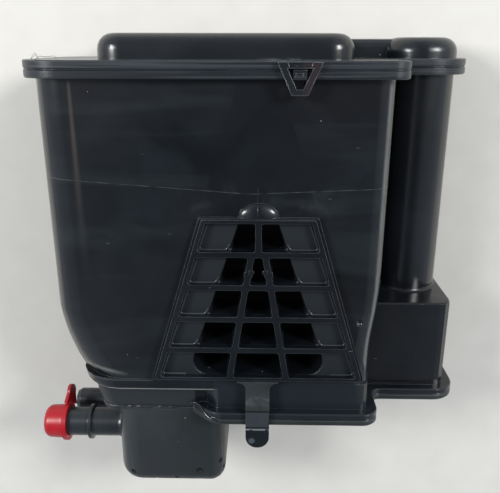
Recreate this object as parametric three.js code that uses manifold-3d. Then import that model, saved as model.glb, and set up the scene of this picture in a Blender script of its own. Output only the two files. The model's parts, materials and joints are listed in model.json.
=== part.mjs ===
// Vapour canister: a welded, glass-filled nylon shell that holds activated carbon. Millimetres.
// X runs along the width, Y along the canister from its lower cover up to its end cover, and Z from
// the rear face that it rests on to the front face with the ribbed slide bracket.
// While modelling, x = 0 is the middle of the bracket and y = 0 is the top of the housing.

import * as THREE from 'three';
import { mergeVertices } from 'three/addons/utils/BufferGeometryUtils.js';
import Module from 'manifold-3d';

// ---- Driving dimensions ----

const gap = 0.3; // between pieces that touch or are welded
const wall = 2.5; // moulded shell
const overhang = 5; // weld flanges beyond the walls
const flangeThickness = 3.6;
const lowerFlangeThickness = 3.1;

const chamberLeft = -98.5;
const chamberRight = 58.6;
const chamberDepth = 78;
const chamberLength = 154.6; // housing top to the step above the skirt
const leftCorner = 14; // radii of the upright edges
const rightCorner = 8;
const frontDraft = 3; // how far front and back walls lean in over the chamber's length
const waistFromFoot = 54.6; // the right wall starts to lean in this far above the step
const waistRun = 34; // and has leaned in fully after this much
const waistLean = 3;
const shoulderFromFoot = 42.6; // the left wall curves in from this far above the step
const shoulderRadius = 95;
const shoulderTurn = 8; // it curves in faster over this much above the band
const shoulderTurnRadius = 24;
const shoulderCorner = 24; // upright edge radius at the foot of the shoulder
const bandHeight = 6.3; // slightly proud band round the chamber's foot, left of the skirt's end
const bandProud = 0.4;
const bandSlack = 1.4; // radius of the band's left end beyond its height
const bandCorner = 18;
const bandEdge = 0.9; // radius of its lower edge

const skirtDepth = 13.2; // the step to the lower weld
const skirtSlack = 0.8; // radius of its left side beyond its depth
const skirtFlare = 6.6; // skirt beyond the cup's left wall at the weld
const skirtStep = 2.9; // its left wall within the band's left end
const skirtCorner = 8.5; // its left upright edges
const skirtLean = 1.5; // its front wall leans in by this much towards the weld
const collarThickness = 1.6; // weld collar round the cup's mouth
const collarProud = 0.5; // beyond the skirt
const floorRise = 10.1; // chamber's floor above the step

const tubeRadius = 17; // side chamber
const tubeFromChamber = 22.6; // tube's axis from the chamber's right wall
const webThickness = 3;
const boxHeight = 50.8; // box under the tube, above the lower weld
const boxDepth = 50;
const boxCorner = 7;
const boxSide = 2.9; // box's right wall beyond the tube
const tubeSeatRadius = 11;

const flangeEdge = 0.5; // eased edges of the weld flanges
const flangeNotch = 3; // inner radius where a flange steps back to the side chamber
const lowerNotch = 5;

const footLeft = -31.5; // lower middle of the housing, beside the skirt
const footChamfer = 11;
const lowerCorners = [13, 11]; // radii at both ends of the lower flange's chamfer

const domeHeight = 11; // above the end cover's flange
const sideDomeHeight = 9.8;
const sideDomeReach = 1; // side dome towards the main dome, beyond a round one
const bridgeHeight = 9.1;
const bridgeFront = 4; // in front of the tube's axis
const domeInset = 9; // main dome behind the chamber's front wall
const domeLeftInset = 26;
const domeRightInset = 16.5;
const domeFillet = 7;

const cupLeft = -74.4;
const cupWidth = 57.2;
const cupDepth = 62;
const cupHeight = 49.5;
const cupFromFront = 9; // cup's front behind the chamber's front wall
const cupCorner = 12;
const cupFillet = 9;
const lowerDomeHeight = 5;

const spigotRadius = 7.9;
const spigotBore = 6.2;
const spigotTip = 43.8; // beyond the cup's left wall
const spigotHeight = 23.5; // above the cup's bottom
const beadRadius = 9.7;
const beadWidth = 1.6;
const beadFromCup = 18.6;
const spigotFromMiddle = 5; // both spigots lie this far behind the cup's middle
const portRadius = 6.6;
const portBore = 5;
const portTip = 33.8;
const spigotSpacing = 23;

const capWall = 1.1;
const capDepth = 11.5; // how far the cap covers the spigot
const capRimWidth = 2.2;
const capRimRadius = 10.6;
const capTabLength = 10;
const capTabTilt = THREE.MathUtils.degToRad(33); // the tab leans towards the rear
const capTabTwist = THREE.MathUtils.degToRad(8); // and its face turns towards the front
const capTabWidth = 8;
const capTabRoot = 13.5; // width of the tab where it leaves the rim
const capTabThickness = 1.8;

const bracketFromFoot = 8; // bracket's lower edge above the step
const bracketTopWidth = 54.4;
const bracketBottomWidth = 104;
const bracketProud = 2; // in front of the chamber's front wall
const bracketStep = 1;
const bracketLip = 1.4;
const sideBorder = 3.6;
const endBorder = 2.2;
const cellHeight = 13.6;
const cellRib = 2.55;
const cellRows = 5;
const cellCorner = 1;
const cellDraft = 0.9; // how far the outer wall of a side cell leans in
const sideCellDepth = 3.8;
const pocketDepth = 24;
const pocketTopHalfWidth = 8.5;
const pocketSlope = 0.327;
const pocketFlare = 1.3; // rounded edge where a side cell's floor turns down into the pocket
const pocketFootCorners = [7, 5]; // outer corners of the last row: lower, upper
const ribWidth = 2.8;
const ribTopOffset = 3.3;
const ribSlope = 0.167;
const keyBossRadius = 2;
const keyBossDrop = 8.4; // below the second row's top
const ejectorPadRadius = 2;

const humpHalfWidth = 9.3; // round hump above the bracket
const humpHalfHeight = 6.5;
const humpBehind = 0.3; // its top behind the bracket's face
const dimpleX = 48.9; // shallow moulding mark beside the bracket
const dimpleFromFoot = 38;
const dimpleRadius = 1.65;
const dimpleDepth = 1.2;

const tongueWidth = 11.7;
const tongueThickness = 2.6;
const tongueStraight = 8.5;
const tongueRamp = 7;
const tongueReach = 36; // below the bracket
const tongueForward = 3; // its lower half in front of the bracket
const tonguePadDrop = 0.9;
const tonguePadLength = 10.8;
const tongueRootWidth = 20;
const tongueRootRadius = 3.4;

const loopFromBracket = 16.6; // catch loop's middle
const loopTopWidth = 18.9;
const loopBottomWidth = 6.8;
const loopArm = 4;
const loopDrop = 10; // below the housing's top
const loopThickness = 2.2;
const loopSunk = 0.7; // its top bar behind the faces of its arms
const catchWidth = 5.4;
const catchHeight = 4;

const springWire = 1.4;
const springRadius = 11;
const springTurns = 4.5;
const sideSpringRadius = 8;
const springSpread = 66;
const feltThickness = 4;
const plateThickness = 2.5;
const springLength = 20;
const springRim = 4; // rims that centre the springs on the main plate
const springPlay = 1.2;
const slotColumns = 9;
const slotMargin = 12;
const slotWeb = 6;
const gridLegs = 4.2;
const legColumns = 5;
const legMargin = 24;
const legWidth = 10;
const legThickness = 3;
const plateHoleCircle = 11.6;
const plateHole = 1.4;
const sideBedLength = 35;
const scrubberRadius = 11.6;
const sealThickness = 4;
const honeycombPitch = 4.4;
const honeycombWall = 1.2;
const pipeRadius = 6;
const pipeRun = 21; // from the cup's left wall to the pipe's rise
const pipeBend = 12;
const pipeSeat = 1.2; // space at the end of the pipe, inside the cup
const foamDepth = 27;
const retainerThickness = 2;
const windowCount = 5;
const windowMargin = 8;
const windowFoot = 12; // retainer's windows above the cup's floor
const windowHead = 6;

// ---- Sizes worked out from them ----

const weldPlane = chamberLength + skirtDepth; // from here on down from the housing's top
const floorHeight = chamberLength - floorRise;
const waistHeight = chamberLength - waistFromFoot;
const shoulderStart = chamberLength - shoulderFromFoot;
const shoulderLength = shoulderFromFoot - bandHeight;
const creaseY = -shoulderStart - shoulderLength;
const boxTop = weldPlane - boxHeight;
const dimpleDrop = chamberLength - dimpleFromFoot;
const chamberBack = overhang;
const chamberFront = chamberBack + chamberDepth;
const flangeFront = chamberFront + overhang;
const tubeX = chamberRight + tubeFromChamber;
const tubeZ = chamberBack + tubeRadius;
const boxRight = tubeX + tubeRadius + boxSide;
const footFront = chamberFront - frontDraft;
const footRight = chamberRight - waistLean;
const cupRight = cupLeft + cupWidth;
const cupFront = chamberFront - cupFromFront;
const cupBack = cupFront - cupDepth;
const coverTop = gap + flangeThickness;
const domeTop = coverTop + domeHeight;
const sideDomeTop = coverTop + sideDomeHeight;
const lowerFlangeTop = -weldPlane - gap;
const lowerFlangeBottom = lowerFlangeTop - lowerFlangeThickness;
const cupBottom = lowerFlangeTop - cupHeight;
const spigotY = cupBottom + spigotHeight;
const spigotZ = cupFront - cupDepth / 2 + spigotSpacing / 2 - spigotFromMiddle;
const portZ = spigotZ - spigotSpacing;
const bracketFront = chamberFront + bracketProud;
const cellPitch = cellHeight + cellRib;
const bracketHeight = 2 * endBorder + cellRows * cellHeight + (cellRows - 1) * cellRib;
const bracketTop = chamberLength - bracketFromFoot - bracketHeight;
const bracketBottom = -bracketTop - bracketHeight;
const cellFloor = bracketFront - sideCellDepth;
const firstCellTop = -bracketTop - endBorder;
const platePlane = domeTop - wall - gap - springLength; // top of the pressure plates
const innerTubeRadius = tubeRadius - wall;

// ---- Making and joining solids ----

const wasm = await Module();
wasm.setup();

function solid(geometry) {
  geometry.deleteAttribute('normal');
  geometry.deleteAttribute('uv');
  const merged = mergeVertices(geometry, 1e-4);
  const vertProperties = new Float32Array(merged.attributes.position.array);
  const triVerts = new Uint32Array(merged.index.array);
  return new wasm.Manifold(new wasm.Mesh({ numProp: 3, vertProperties, triVerts }));
}

function joined(pieces) {
  return pieces.reduce((whole, piece) => whole.add(piece));
}

function geometryOf(manifold) {
  const mesh = manifold.getMesh();
  const geometry = new THREE.BufferGeometry();
  geometry.setAttribute('position', new THREE.BufferAttribute(new Float32Array(mesh.vertProperties), 3));
  geometry.setIndex(new THREE.BufferAttribute(new Uint32Array(mesh.triVerts), 1));
  geometry.computeVertexNormals();
  return geometry;
}

// A closed skin over loops of equally many [x, y, z] points, from the lowest loop to the highest.
function loft(loops) {
  const count = loops[0].length;
  const positions = loops.flat(2);
  const index = [];
  for (let level = 0; level < loops.length - 1; level++) {
    for (let i = 0; i < count; i++) {
      const next = (i + 1) % count;
      const a = level * count + i;
      const b = a + count;
      const c = level * count + next;
      index.push(a, b, c, c, b, c + count);
    }
  }
  const ends = [[loops[0], 0, 0], [loops.at(-1), (loops.length - 1) * count, 1]];
  for (const [loop, first, isTop] of ends) {
    const centre = positions.length / 3;
    for (const axis of [0, 1, 2]) {
      positions.push(loop.reduce((sum, point) => sum + point[axis], 0) / count);
    }
    for (let i = 0; i < count; i++) {
      const next = (i + 1) % count;
      index.push(centre, first + (isTop ? next : i), first + (isTop ? i : next));
    }
  }
  const geometry = new THREE.BufferGeometry();
  geometry.setAttribute('position', new THREE.Float32BufferAttribute(positions, 3));
  geometry.setIndex(index);
  return solid(geometry);
}

// A loop round a rectangle with rounded corners, lying at height y.
function roundedLoop({ left, right, back, front, leftRadius, rightRadius }, y, steps = 5) {
  const corners = [
    [right - rightRadius, front - rightRadius, rightRadius],
    [left + leftRadius, front - leftRadius, leftRadius],
    [left + leftRadius, back + leftRadius, leftRadius],
    [right - rightRadius, back + rightRadius, rightRadius],
  ];
  return corners.flatMap(([x, z, radius], quarter) =>
    Array.from({ length: steps + 1 }, (_, step) => {
      const angle = (quarter + step / steps) * (Math.PI / 2);
      return [x + radius * Math.cos(angle), y, z + radius * Math.sin(angle)];
    }));
}

function inset(box, by) {
  return {
    left: box.left + by,
    right: box.right - by,
    back: box.back + by,
    front: box.front - by,
    leftRadius: Math.max(box.leftRadius - by, 0.5),
    rightRadius: Math.max(box.rightRadius - by, 0.5),
  };
}

// The points of an outline whose corners [u, v, radius] are rounded, convex or not.
function roundedPath(corners, steps = 5) {
  return corners.flatMap(([u, v, radius], i) => {
    const corner = new THREE.Vector2(u, v);
    const before = corners.at(i - 1);
    const after = corners[(i + 1) % corners.length];
    const back = new THREE.Vector2(before[0], before[1]).sub(corner).normalize();
    const ahead = new THREE.Vector2(after[0], after[1]).sub(corner).normalize();
    if (radius === 0) return [corner];
    const half = Math.acos(THREE.MathUtils.clamp(back.dot(ahead), -1, 1)) / 2;
    const middle = back.clone().add(ahead).normalize();
    const centre = corner.clone().addScaledVector(middle, radius / Math.sin(half));
    const start = corner.clone().addScaledVector(back, radius / Math.tan(half)).sub(centre);
    const end = corner.clone().addScaledVector(ahead, radius / Math.tan(half)).sub(centre);
    const turn = Math.atan2(start.cross(end), start.dot(end));
    return Array.from({ length: steps + 1 }, (_, step) =>
      start.clone().rotateAround(new THREE.Vector2(), (turn * step) / steps).add(centre));
  });
}

// An outline in x and z, raised from low to high along Y.
function slab(points, low, high) {
  const geometry = new THREE.ExtrudeGeometry(new THREE.Shape(points), {
    depth: high - low,
    bevelEnabled: false,
  });
  geometry.rotateX(Math.PI / 2);
  geometry.translate(0, high, 0);
  return solid(geometry);
}

// A weld flange: a slab with eased edges.
function flange(points, low, high) {
  const geometry = new THREE.ExtrudeGeometry(new THREE.Shape(points), {
    depth: high - low - 2 * flangeEdge,
    bevelEnabled: true,
    bevelThickness: flangeEdge,
    bevelSize: flangeEdge,
    bevelOffset: -flangeEdge,
    bevelSegments: 1,
  });
  geometry.rotateX(Math.PI / 2);
  geometry.translate(0, high - flangeEdge, 0);
  return solid(geometry);
}

// A closed skin over outlines in x and y of equally many points, each with its z, the rear one first.
function stack(levels) {
  const loops = levels.map(([points, z]) => points.map(({ x, y }) => [x, z, -y]).reverse());
  return loft(loops).rotate([90, 0, 0]);
}

// An outline in x and y, raised from low to high along Z.
function prism(points, low, high) {
  const geometry = new THREE.ExtrudeGeometry(new THREE.Shape(points), {
    depth: high - low,
    bevelEnabled: false,
  });
  geometry.translate(0, 0, low);
  return solid(geometry);
}

function block(xRange, yRange, zRange) {
  const sizes = [xRange, yRange, zRange].map(([low, high]) => high - low);
  const middles = [xRange, yRange, zRange].map(([low, high]) => (low + high) / 2);
  const geometry = new THREE.BoxGeometry(...sizes);
  geometry.translate(...middles);
  return solid(geometry);
}

// A round solid about an axis through (x, z), from low to high along Y.
function rod(x, z, radius, low, high, sides = 32) {
  const geometry = new THREE.CylinderGeometry(radius, radius, high - low, sides);
  geometry.translate(x, (low + high) / 2, z);
  return solid(geometry);
}

// A turned solid about an axis along -X through (y, z): profile points are [radius, distance].
function turnedAlongX(profile, x, y, z, sides = 28) {
  const points = profile.map(([radius, along]) => new THREE.Vector2(radius, along));
  const geometry = new THREE.LatheGeometry(points, sides);
  geometry.rotateZ(Math.PI / 2);
  geometry.translate(x, y, z);
  return solid(geometry);
}

// ---- Shapes that several pieces share ----

// How far a circle has left its tangent after `run` along it.
function arcSag(run, radius) {
  return radius - Math.sqrt(radius ** 2 - run ** 2);
}

// The main chamber's outline at height y, moved inwards by `by`.
function chamberSection(y, by) {
  const down = -y;
  const lean = (frontDraft * Math.min(down, chamberLength)) / chamberLength;
  const waist = THREE.MathUtils.smoothstep(down, waistHeight, waistHeight + waistRun) * waistLean;
  const into = THREE.MathUtils.clamp(down - shoulderStart, 0, shoulderLength);
  const intoTurn = Math.max(into - shoulderLength + shoulderTurn, 0);
  const shoulder = arcSag(into, shoulderRadius) + arcSag(intoTurn, shoulderTurnRadius);
  const corner = THREE.MathUtils.lerp(leftCorner, shoulderCorner, into / shoulderLength);
  return inset({
    left: chamberLeft + shoulder,
    right: chamberRight - waist,
    back: chamberBack + lean,
    front: chamberFront - lean,
    leftRadius: corner,
    rightRadius: rightCorner,
  }, by);
}

// Below the crease at the foot of the shoulder the left end rounds in more tightly.
function neckSection(y, by) {
  const round = arcSag(creaseY - y, bandHeight + bandSlack);
  const foot = chamberSection(y, 0);
  return inset({ ...foot, left: foot.left + round, leftRadius: bandCorner }, by);
}

function chamberLevels() {
  const levels = [0, waistHeight, shoulderStart];
  for (let step = 1; step <= 8; step++) levels.push(shoulderStart + (shoulderLength * step) / 8);
  return levels.map((down) => -down).reverse();
}

// The chamber's space with its walls (by = 0), or a space within them.
function chamberSolid(by, top, bottom) {
  const upper = chamberLevels().filter((y) => y < top && y > Math.max(bottom, creaseY));
  const loops = [];
  if (bottom < creaseY) {
    const neckDepth = creaseY - bottom;
    for (let step = 5; step >= 1; step--) {
      const y = creaseY - (neckDepth * step) / 5;
      loops.push(roundedLoop(neckSection(y, by), y));
    }
  }
  const low = Math.max(bottom, creaseY);
  for (const y of [low, ...upper, top]) loops.push(roundedLoop(chamberSection(Math.min(y, 0), by), y));
  return loft(loops);
}

// The round space of the side chamber and its dome.
function tubeSolid(radius, low, high, sides = 32) {
  return rod(tubeX, tubeZ, radius, low, high, sides);
}

// A box with rounded upright edges and a rounded far end, from its open end at `base` to `tip`.
function domeSolid(box, base, tip, fillet, steps = 5) {
  const toward = Math.sign(tip - base);
  const loops = [roundedLoop(box, base, steps)];
  for (let step = 0; step <= steps; step++) {
    const angle = ((step / steps) * Math.PI) / 2;
    const by = fillet * (1 - Math.cos(angle));
    const y = tip - toward * fillet * (1 - Math.sin(angle));
    loops.push(roundedLoop(inset(box, by), y, steps));
  }
  return loft(toward > 0 ? loops : loops.reverse());
}

function pocketHalfWidth(y) {
  return pocketTopHalfWidth + pocketSlope * (firstCellTop - y);
}

const pocketBottom = firstCellTop - cellRows * cellPitch + cellRib;
const pocketFloor = bracketFront - pocketDepth;

// The solid that walls in the pocket behind the bracket, seen from inside the chamber.
function pocketBlock(by) {
  const high = firstCellTop + wall + by;
  const low = pocketBottom - wall - by;
  const top = pocketHalfWidth(firstCellTop) + wall + by;
  const bottom = pocketHalfWidth(pocketBottom) + wall + by;
  const outline = [[top, high, 4], [bottom, low, 8], [-bottom, low, 8], [-top, high, 4]];
  const front = chamberFront - frontDraft - 0.1;
  return prism(roundedPath(outline.reverse(), 3), pocketFloor - wall - by, front + by);
}

// ---- Housing ----

function topFlangeOutline() {
  const left = chamberLeft - overhang;
  const right = chamberRight + overhang;
  const round = tubeRadius + overhang;
  return roundedPath([
    [left, chamberBack - overhang, leftCorner + overhang],
    [tubeX + round, tubeZ - round, round - flangeEdge],
    [tubeX + round, tubeZ + round, round - flangeEdge],
    [right, tubeZ + round, flangeNotch],
    [right, flangeFront, rightCorner],
    [left, flangeFront, leftCorner + overhang],
  ], 6);
}

function lowerFlangeOutline() {
  const left = footLeft - overhang;
  const step = footRight + overhang;
  const front = footFront + overhang;
  const boxFront = chamberBack + boxDepth + overhang;
  const chamfer = footChamfer + overhang * 0.6;
  return roundedPath([
    [left, chamberBack - overhang, 4],
    [boxRight + overhang, chamberBack - overhang, boxCorner + overhang],
    [boxRight + overhang, boxFront, boxCorner + overhang],
    [step, boxFront, lowerNotch],
    [step, front, 8],
    [left + chamfer, front, lowerCorners[0]],
    [left, front - chamfer, lowerCorners[1]],
  ], 6);
}

function footOutline(by) {
  const left = footLeft + by;
  const right = footRight - by;
  const front = footFront - by;
  const back = chamberBack + frontDraft + by;
  return roundedPath([
    [left, back, 2],
    [right, back, 4],
    [right, front, 5],
    [left + footChamfer, front, 3],
    [left, front - footChamfer, 3],
  ], 3);
}

// The chamber's foot: a band that stands slightly proud, with a rounded lower edge.
function footBand() {
  const bottom = -chamberLength;
  const loops = [];
  for (let step = 0; step <= 3; step++) {
    const angle = ((step / 3) * Math.PI) / 2;
    const by = bandEdge * (1 - Math.sin(angle)) - bandProud;
    const y = bottom + bandEdge * (1 - Math.cos(angle));
    loops.push(roundedLoop(neckSection(y, by), y));
  }
  for (const y of [bottom + bandHeight / 2, bottom + bandHeight]) {
    loops.push(roundedLoop(neckSection(y, -bandProud), y));
  }
  const end = footLeft + footChamfer;
  return loft(loops).intersect(block([chamberLeft, end], [bottom - 1, 0], [0, flangeFront]));
}

function skirtSolid(by, top) {
  const loops = [];
  for (let step = 4; step >= 0; step--) {
    const into = (skirtDepth * step) / 4;
    loops.push(roundedLoop(inset(skirtSection(into), by), -chamberLength - into));
  }
  const highest = loops.at(-1).map(([x, , z]) => [x, top, z]);
  return loft([...loops, highest]);
}

// The skirt's outline, `into` below its top: its left end rounds in towards the cup.
function skirtSection(into) {
  const round = (down) => arcSag(down, skirtDepth + skirtSlack);
  const start = neckSection(-chamberLength, 0).left + skirtStep;
  return {
    left: THREE.MathUtils.lerp(start, cupLeft - skirtFlare, round(into) / round(skirtDepth)),
    right: cupRight,
    back: cupBack,
    front: cupFront + skirtLean * (1 - into / skirtDepth),
    leftRadius: skirtCorner,
    rightRadius: rightCorner,
  };
}

function boxLoop(by) {
  return inset({
    left: footRight - 3,
    right: boxRight,
    back: chamberBack,
    front: chamberBack + boxDepth,
    leftRadius: 2,
    rightRadius: boxCorner,
  }, by);
}

function boxCavity() {
  const space = { ...boxLoop(wall), left: footRight + wall };
  return loft([
    roundedLoop(space, -weldPlane - 1),
    roundedLoop(space, -boxTop - wall),
  ]);
}

function bracketHalfWidth(y) {
  const share = (-bracketTop - y) / bracketHeight;
  return THREE.MathUtils.lerp(bracketTopWidth, bracketBottomWidth, share) / 2;
}

function ribOffset(y) {
  return ribTopOffset + ribSlope * (firstCellTop - cellPitch - y);
}

// A cell's outline between two lines that are given as functions of height.
function cellOutline(row, leftLine, rightLine, rightRadii = [cellCorner, cellCorner], steps = 2) {
  const top = firstCellTop - row * cellPitch;
  const bottom = top - cellHeight;
  return roundedPath([
    [leftLine(bottom), bottom, cellCorner],
    [rightLine(bottom), bottom, rightRadii[0]],
    [rightLine(top), top, rightRadii[1]],
    [leftLine(top), top, cellCorner],
  ], steps);
}

function ribEdge(row) {
  return (y) => (row === 0 ? 0 : ribOffset(y)) + ribWidth / 2;
}

// The shallow outer part of a cell right of the bracket's middle.
function sideCell(row) {
  const outline = (by) =>
    cellOutline(row, ribEdge(row), (y) => bracketHalfWidth(y) - sideBorder - by);
  const full = outline(0);
  return stack([[outline(cellDraft), cellFloor], [full, bracketFront], [full, flangeFront]]);
}

// The deep inner part of that cell. Its outer edge rounds over into the side cell's floor.
function pocketCell(row) {
  const isLast = row === cellRows - 1;
  const radii = isLast ? pocketFootCorners : [cellCorner, cellCorner];
  const outline = (by) =>
    cellOutline(row, ribEdge(row), (y) => pocketHalfWidth(y) + by, radii, isLast ? 5 : 2);
  const levels = [[outline(0), pocketFloor]];
  for (let step = 0; step <= 3; step++) {
    const angle = ((step / 3) * Math.PI) / 2;
    const by = pocketFlare * (1 - Math.cos(angle));
    levels.push([outline(by), cellFloor - pocketFlare * (1 - Math.sin(angle))]);
  }
  levels.push([outline(pocketFlare), cellFloor + 1]);
  return stack(levels);
}

function middleCell(row) {
  const edge = (y) => ribOffset(y) - ribWidth / 2;
  return prism(cellOutline(row, (y) => -edge(y), edge), pocketFloor, flangeFront);
}

function bracketCells() {
  const cuts = [];
  for (let row = 0; row < cellRows; row++) {
    const right = sideCell(row).add(pocketCell(row));
    cuts.push(right, right.mirror([1, 0, 0]));
    if (row > 0) cuts.push(middleCell(row));
  }
  return joined(cuts);
}

function bracketSolid() {
  const plate = (by, low, high) => prism(roundedPath([
    [-bracketBottomWidth / 2 + by, bracketBottom + by * 0.5, 1.5],
    [bracketBottomWidth / 2 - by, bracketBottom + by * 0.5, 1.5],
    [bracketTopWidth / 2 - by, -bracketTop - by * 0.5, 1],
    [-bracketTopWidth / 2 + by, -bracketTop - by * 0.5, 1],
  ], 2), low, high);
  const base = chamberFront - frontDraft - 1;
  return plate(0, base, bracketFront - bracketStep).add(plate(bracketLip, base, bracketFront));
}

// Round pads on the ribs: two make the keyhole in the second row, two lie on the fourth rib.
function bracketBosses() {
  const keyY = firstCellTop - cellPitch - keyBossDrop;
  const padY = firstCellTop - 4 * cellPitch + cellRib / 2;
  const pads = [];
  for (const side of [-1, 1]) {
    for (const [y, radius] of [[keyY, keyBossRadius], [padY, ejectorPadRadius]]) {
      const geometry = new THREE.CylinderGeometry(radius, radius, pocketDepth, 14);
      geometry.rotateX(Math.PI / 2);
      geometry.translate(side * ribOffset(y), y, bracketFront - pocketDepth / 2);
      pads.push(solid(geometry));
    }
  }
  return joined(pads);
}

// The low round hump that ends at the bracket's upper edge.
function bracketHump() {
  const face = chamberSection(-bracketTop, 0).front;
  const geometry = new THREE.SphereGeometry(1, 28, 18);
  geometry.scale(humpHalfWidth, humpHalfHeight, bracketFront - humpBehind - face);
  geometry.translate(0, -bracketTop, face);
  return solid(geometry).intersect(block(
    [-humpHalfWidth, humpHalfWidth],
    [-bracketTop - 0.2, -bracketTop + humpHalfHeight],
    [face - wall / 2, flangeFront],
  ));
}

// A shallow round hollow in the front wall, cut with a ball.
function wallDimple() {
  const ball = (dimpleRadius ** 2 + dimpleDepth ** 2) / (2 * dimpleDepth);
  const face = chamberSection(-dimpleDrop, 0).front;
  const geometry = new THREE.SphereGeometry(ball, 20, 14);
  geometry.translate(dimpleX, -dimpleDrop, face - dimpleDepth + ball);
  return solid(geometry);
}

function housing() {
  const outer = joined([
    flange(topFlangeOutline(), -flangeThickness, 0),
    chamberSolid(0, 0, -chamberLength + bandEdge),
    footBand(),
    skirtSolid(0, -chamberLength + 4),
    slab(footOutline(0), -weldPlane, -chamberLength + 4),
    flange(lowerFlangeOutline(), -weldPlane, -weldPlane + lowerFlangeThickness),
    tubeSolid(tubeRadius, -boxTop - 1, 0, 60),
    domeSolid(boxLoop(0), -weldPlane, -boxTop, 1.5, 3),
    block(
      [chamberRight - waistLean, tubeX - tubeRadius + 2],
      [-boxTop - 1, -1],
      [tubeZ - webThickness / 2, tubeZ + webThickness / 2],
    ),
    bracketHump(),
  ]);
  const floorBottom = -floorHeight - wall;
  const ductRange = [chamberBack + frontDraft + wall + 1, chamberBack + boxDepth - wall - 1];
  const cavity = joined([
    chamberSolid(wall, 1, -floorHeight),
    skirtSolid(wall, floorBottom).add(slab(footOutline(wall), -weldPlane - 1, floorBottom)),
    slab(roundedPath([
      [cupLeft + wall, cupBack + wall, cupCorner - wall],
      [cupRight - wall, cupBack + wall, rightCorner - wall],
      [cupRight - wall, cupFront - wall, rightCorner - wall],
      [cupLeft + wall, cupFront - wall, cupCorner - wall],
    ]), -weldPlane - 1, -weldPlane + 0.5),
    tubeSolid(innerTubeRadius, -boxTop, 1),
    tubeSolid(tubeSeatRadius, -boxTop - wall - 1, 1),
    boxCavity(),
    block(
      [footRight - wall - 4, footRight + wall + 4],
      [-weldPlane + lowerFlangeThickness + 1, floorBottom - 1],
      ductRange,
    ),
    rod(pipeX, portZ, pipeRadius + gap, floorBottom - 1, -floorHeight + 1, 24),
    wallDimple(),
  ]);
  const catchBlock = block(
    [loopFromBracket - catchWidth / 2, loopFromBracket + catchWidth / 2],
    [-catchHeight + 0.4, -0.1],
    [flangeFront - 1, flangeFront + gap + loopThickness * 0.8],
  );
  return joined([outer.subtract(cavity), pocketBlock(0), bracketSolid(), catchBlock])
    .subtract(bracketCells())
    .add(bracketBosses().intersect(pocketColumn()));
}

// The bosses reach from the bracket's face down to the pocket's floor.
function pocketColumn() {
  return block(
    [-bracketBottomWidth / 2, bracketBottomWidth / 2],
    [bracketBottom, -bracketTop],
    [pocketFloor - 1, bracketFront],
  );
}

// ---- Latch tongue under the bracket ----

function latchTongue() {
  const top = bracketBottom - gap;
  const bottom = bracketBottom - tongueReach;
  const back = bracketFront - tongueThickness;
  const forward = tongueForward;
  const bend = top - tongueStraight;
  const lowStart = bend - tongueRamp;
  const pad = bottom + tonguePadLength;
  const side = [
    [top, back],
    [bend, back],
    [lowStart, back + forward],
    [pad, back + forward],
    [pad, back + forward - tonguePadDrop],
    [bottom, back + forward - tonguePadDrop],
    [bottom, bracketFront + forward - tonguePadDrop],
    [pad, bracketFront + forward - tonguePadDrop],
    [pad, bracketFront + forward],
    [lowStart, bracketFront + forward],
    [bend, bracketFront],
    [top, bracketFront],
  ];
  const profile = new THREE.ExtrudeGeometry(
    new THREE.Shape(side.map(([y, z]) => new THREE.Vector2(z, y))),
    { depth: tongueRootWidth, bevelEnabled: false },
  );
  profile.rotateY(-Math.PI / 2);
  profile.translate(tongueRootWidth / 2, 0, 0);
  const half = tongueWidth / 2;
  const root = tongueRootWidth / 2;
  const foot = top - 0.4;
  const outline = roundedPath([
    [-half, bottom, half - 0.05],
    [half, bottom, half - 0.05],
    [half, foot, tongueRootRadius],
    [root, foot, 0],
    [root, top + 1, 0],
    [-root, top + 1, 0],
    [-root, foot, 0],
    [-half, foot, tongueRootRadius],
  ], 6);
  return solid(profile).intersect(prism(outline, back - 5, bracketFront + forward + 5));
}

// ---- End cover with its domes and catch loop ----

function mainDomeBox(by) {
  return inset({
    left: chamberLeft + domeLeftInset,
    right: chamberRight - domeRightInset,
    back: chamberBack + domeInset,
    front: chamberFront - domeInset,
    leftRadius: leftCorner - 2,
    rightRadius: leftCorner - 2,
  }, by);
}

function sideDomeBox(by) {
  const radius = tubeRadius + 0.5 - by;
  return {
    left: tubeX - radius - sideDomeReach,
    right: tubeX + radius,
    back: tubeZ - radius,
    front: tubeZ + radius,
    leftRadius: radius - 0.01,
    rightRadius: radius - 0.01,
  };
}

function bridgeBox(by) {
  return inset({
    left: chamberRight - domeRightInset - 8,
    right: tubeX - tubeRadius / 2,
    back: tubeZ - 9,
    front: tubeZ + bridgeFront,
    leftRadius: 4,
    rightRadius: 4,
  }, by);
}

function endCover() {
  const fillet = domeFillet - wall;
  const shell = joined([
    flange(topFlangeOutline(), gap, coverTop),
    domeSolid(mainDomeBox(0), coverTop - 1, domeTop, domeFillet),
    domeSolid(sideDomeBox(0), coverTop - 1, sideDomeTop, domeFillet, 9),
    domeSolid(bridgeBox(0), coverTop - 1, coverTop + bridgeHeight, 3.5, 3),
  ]);
  const space = joined([
    domeSolid(mainDomeBox(wall), gap - 1, domeTop - wall, fillet, 3),
    domeSolid(sideDomeBox(wall), gap - 1, sideDomeTop - wall, fillet, 3),
    domeSolid(bridgeBox(wall), gap - 1, coverTop + bridgeHeight - wall, 1.5, 3),
  ]);
  return shell.subtract(space).add(catchLoop());
}

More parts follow.
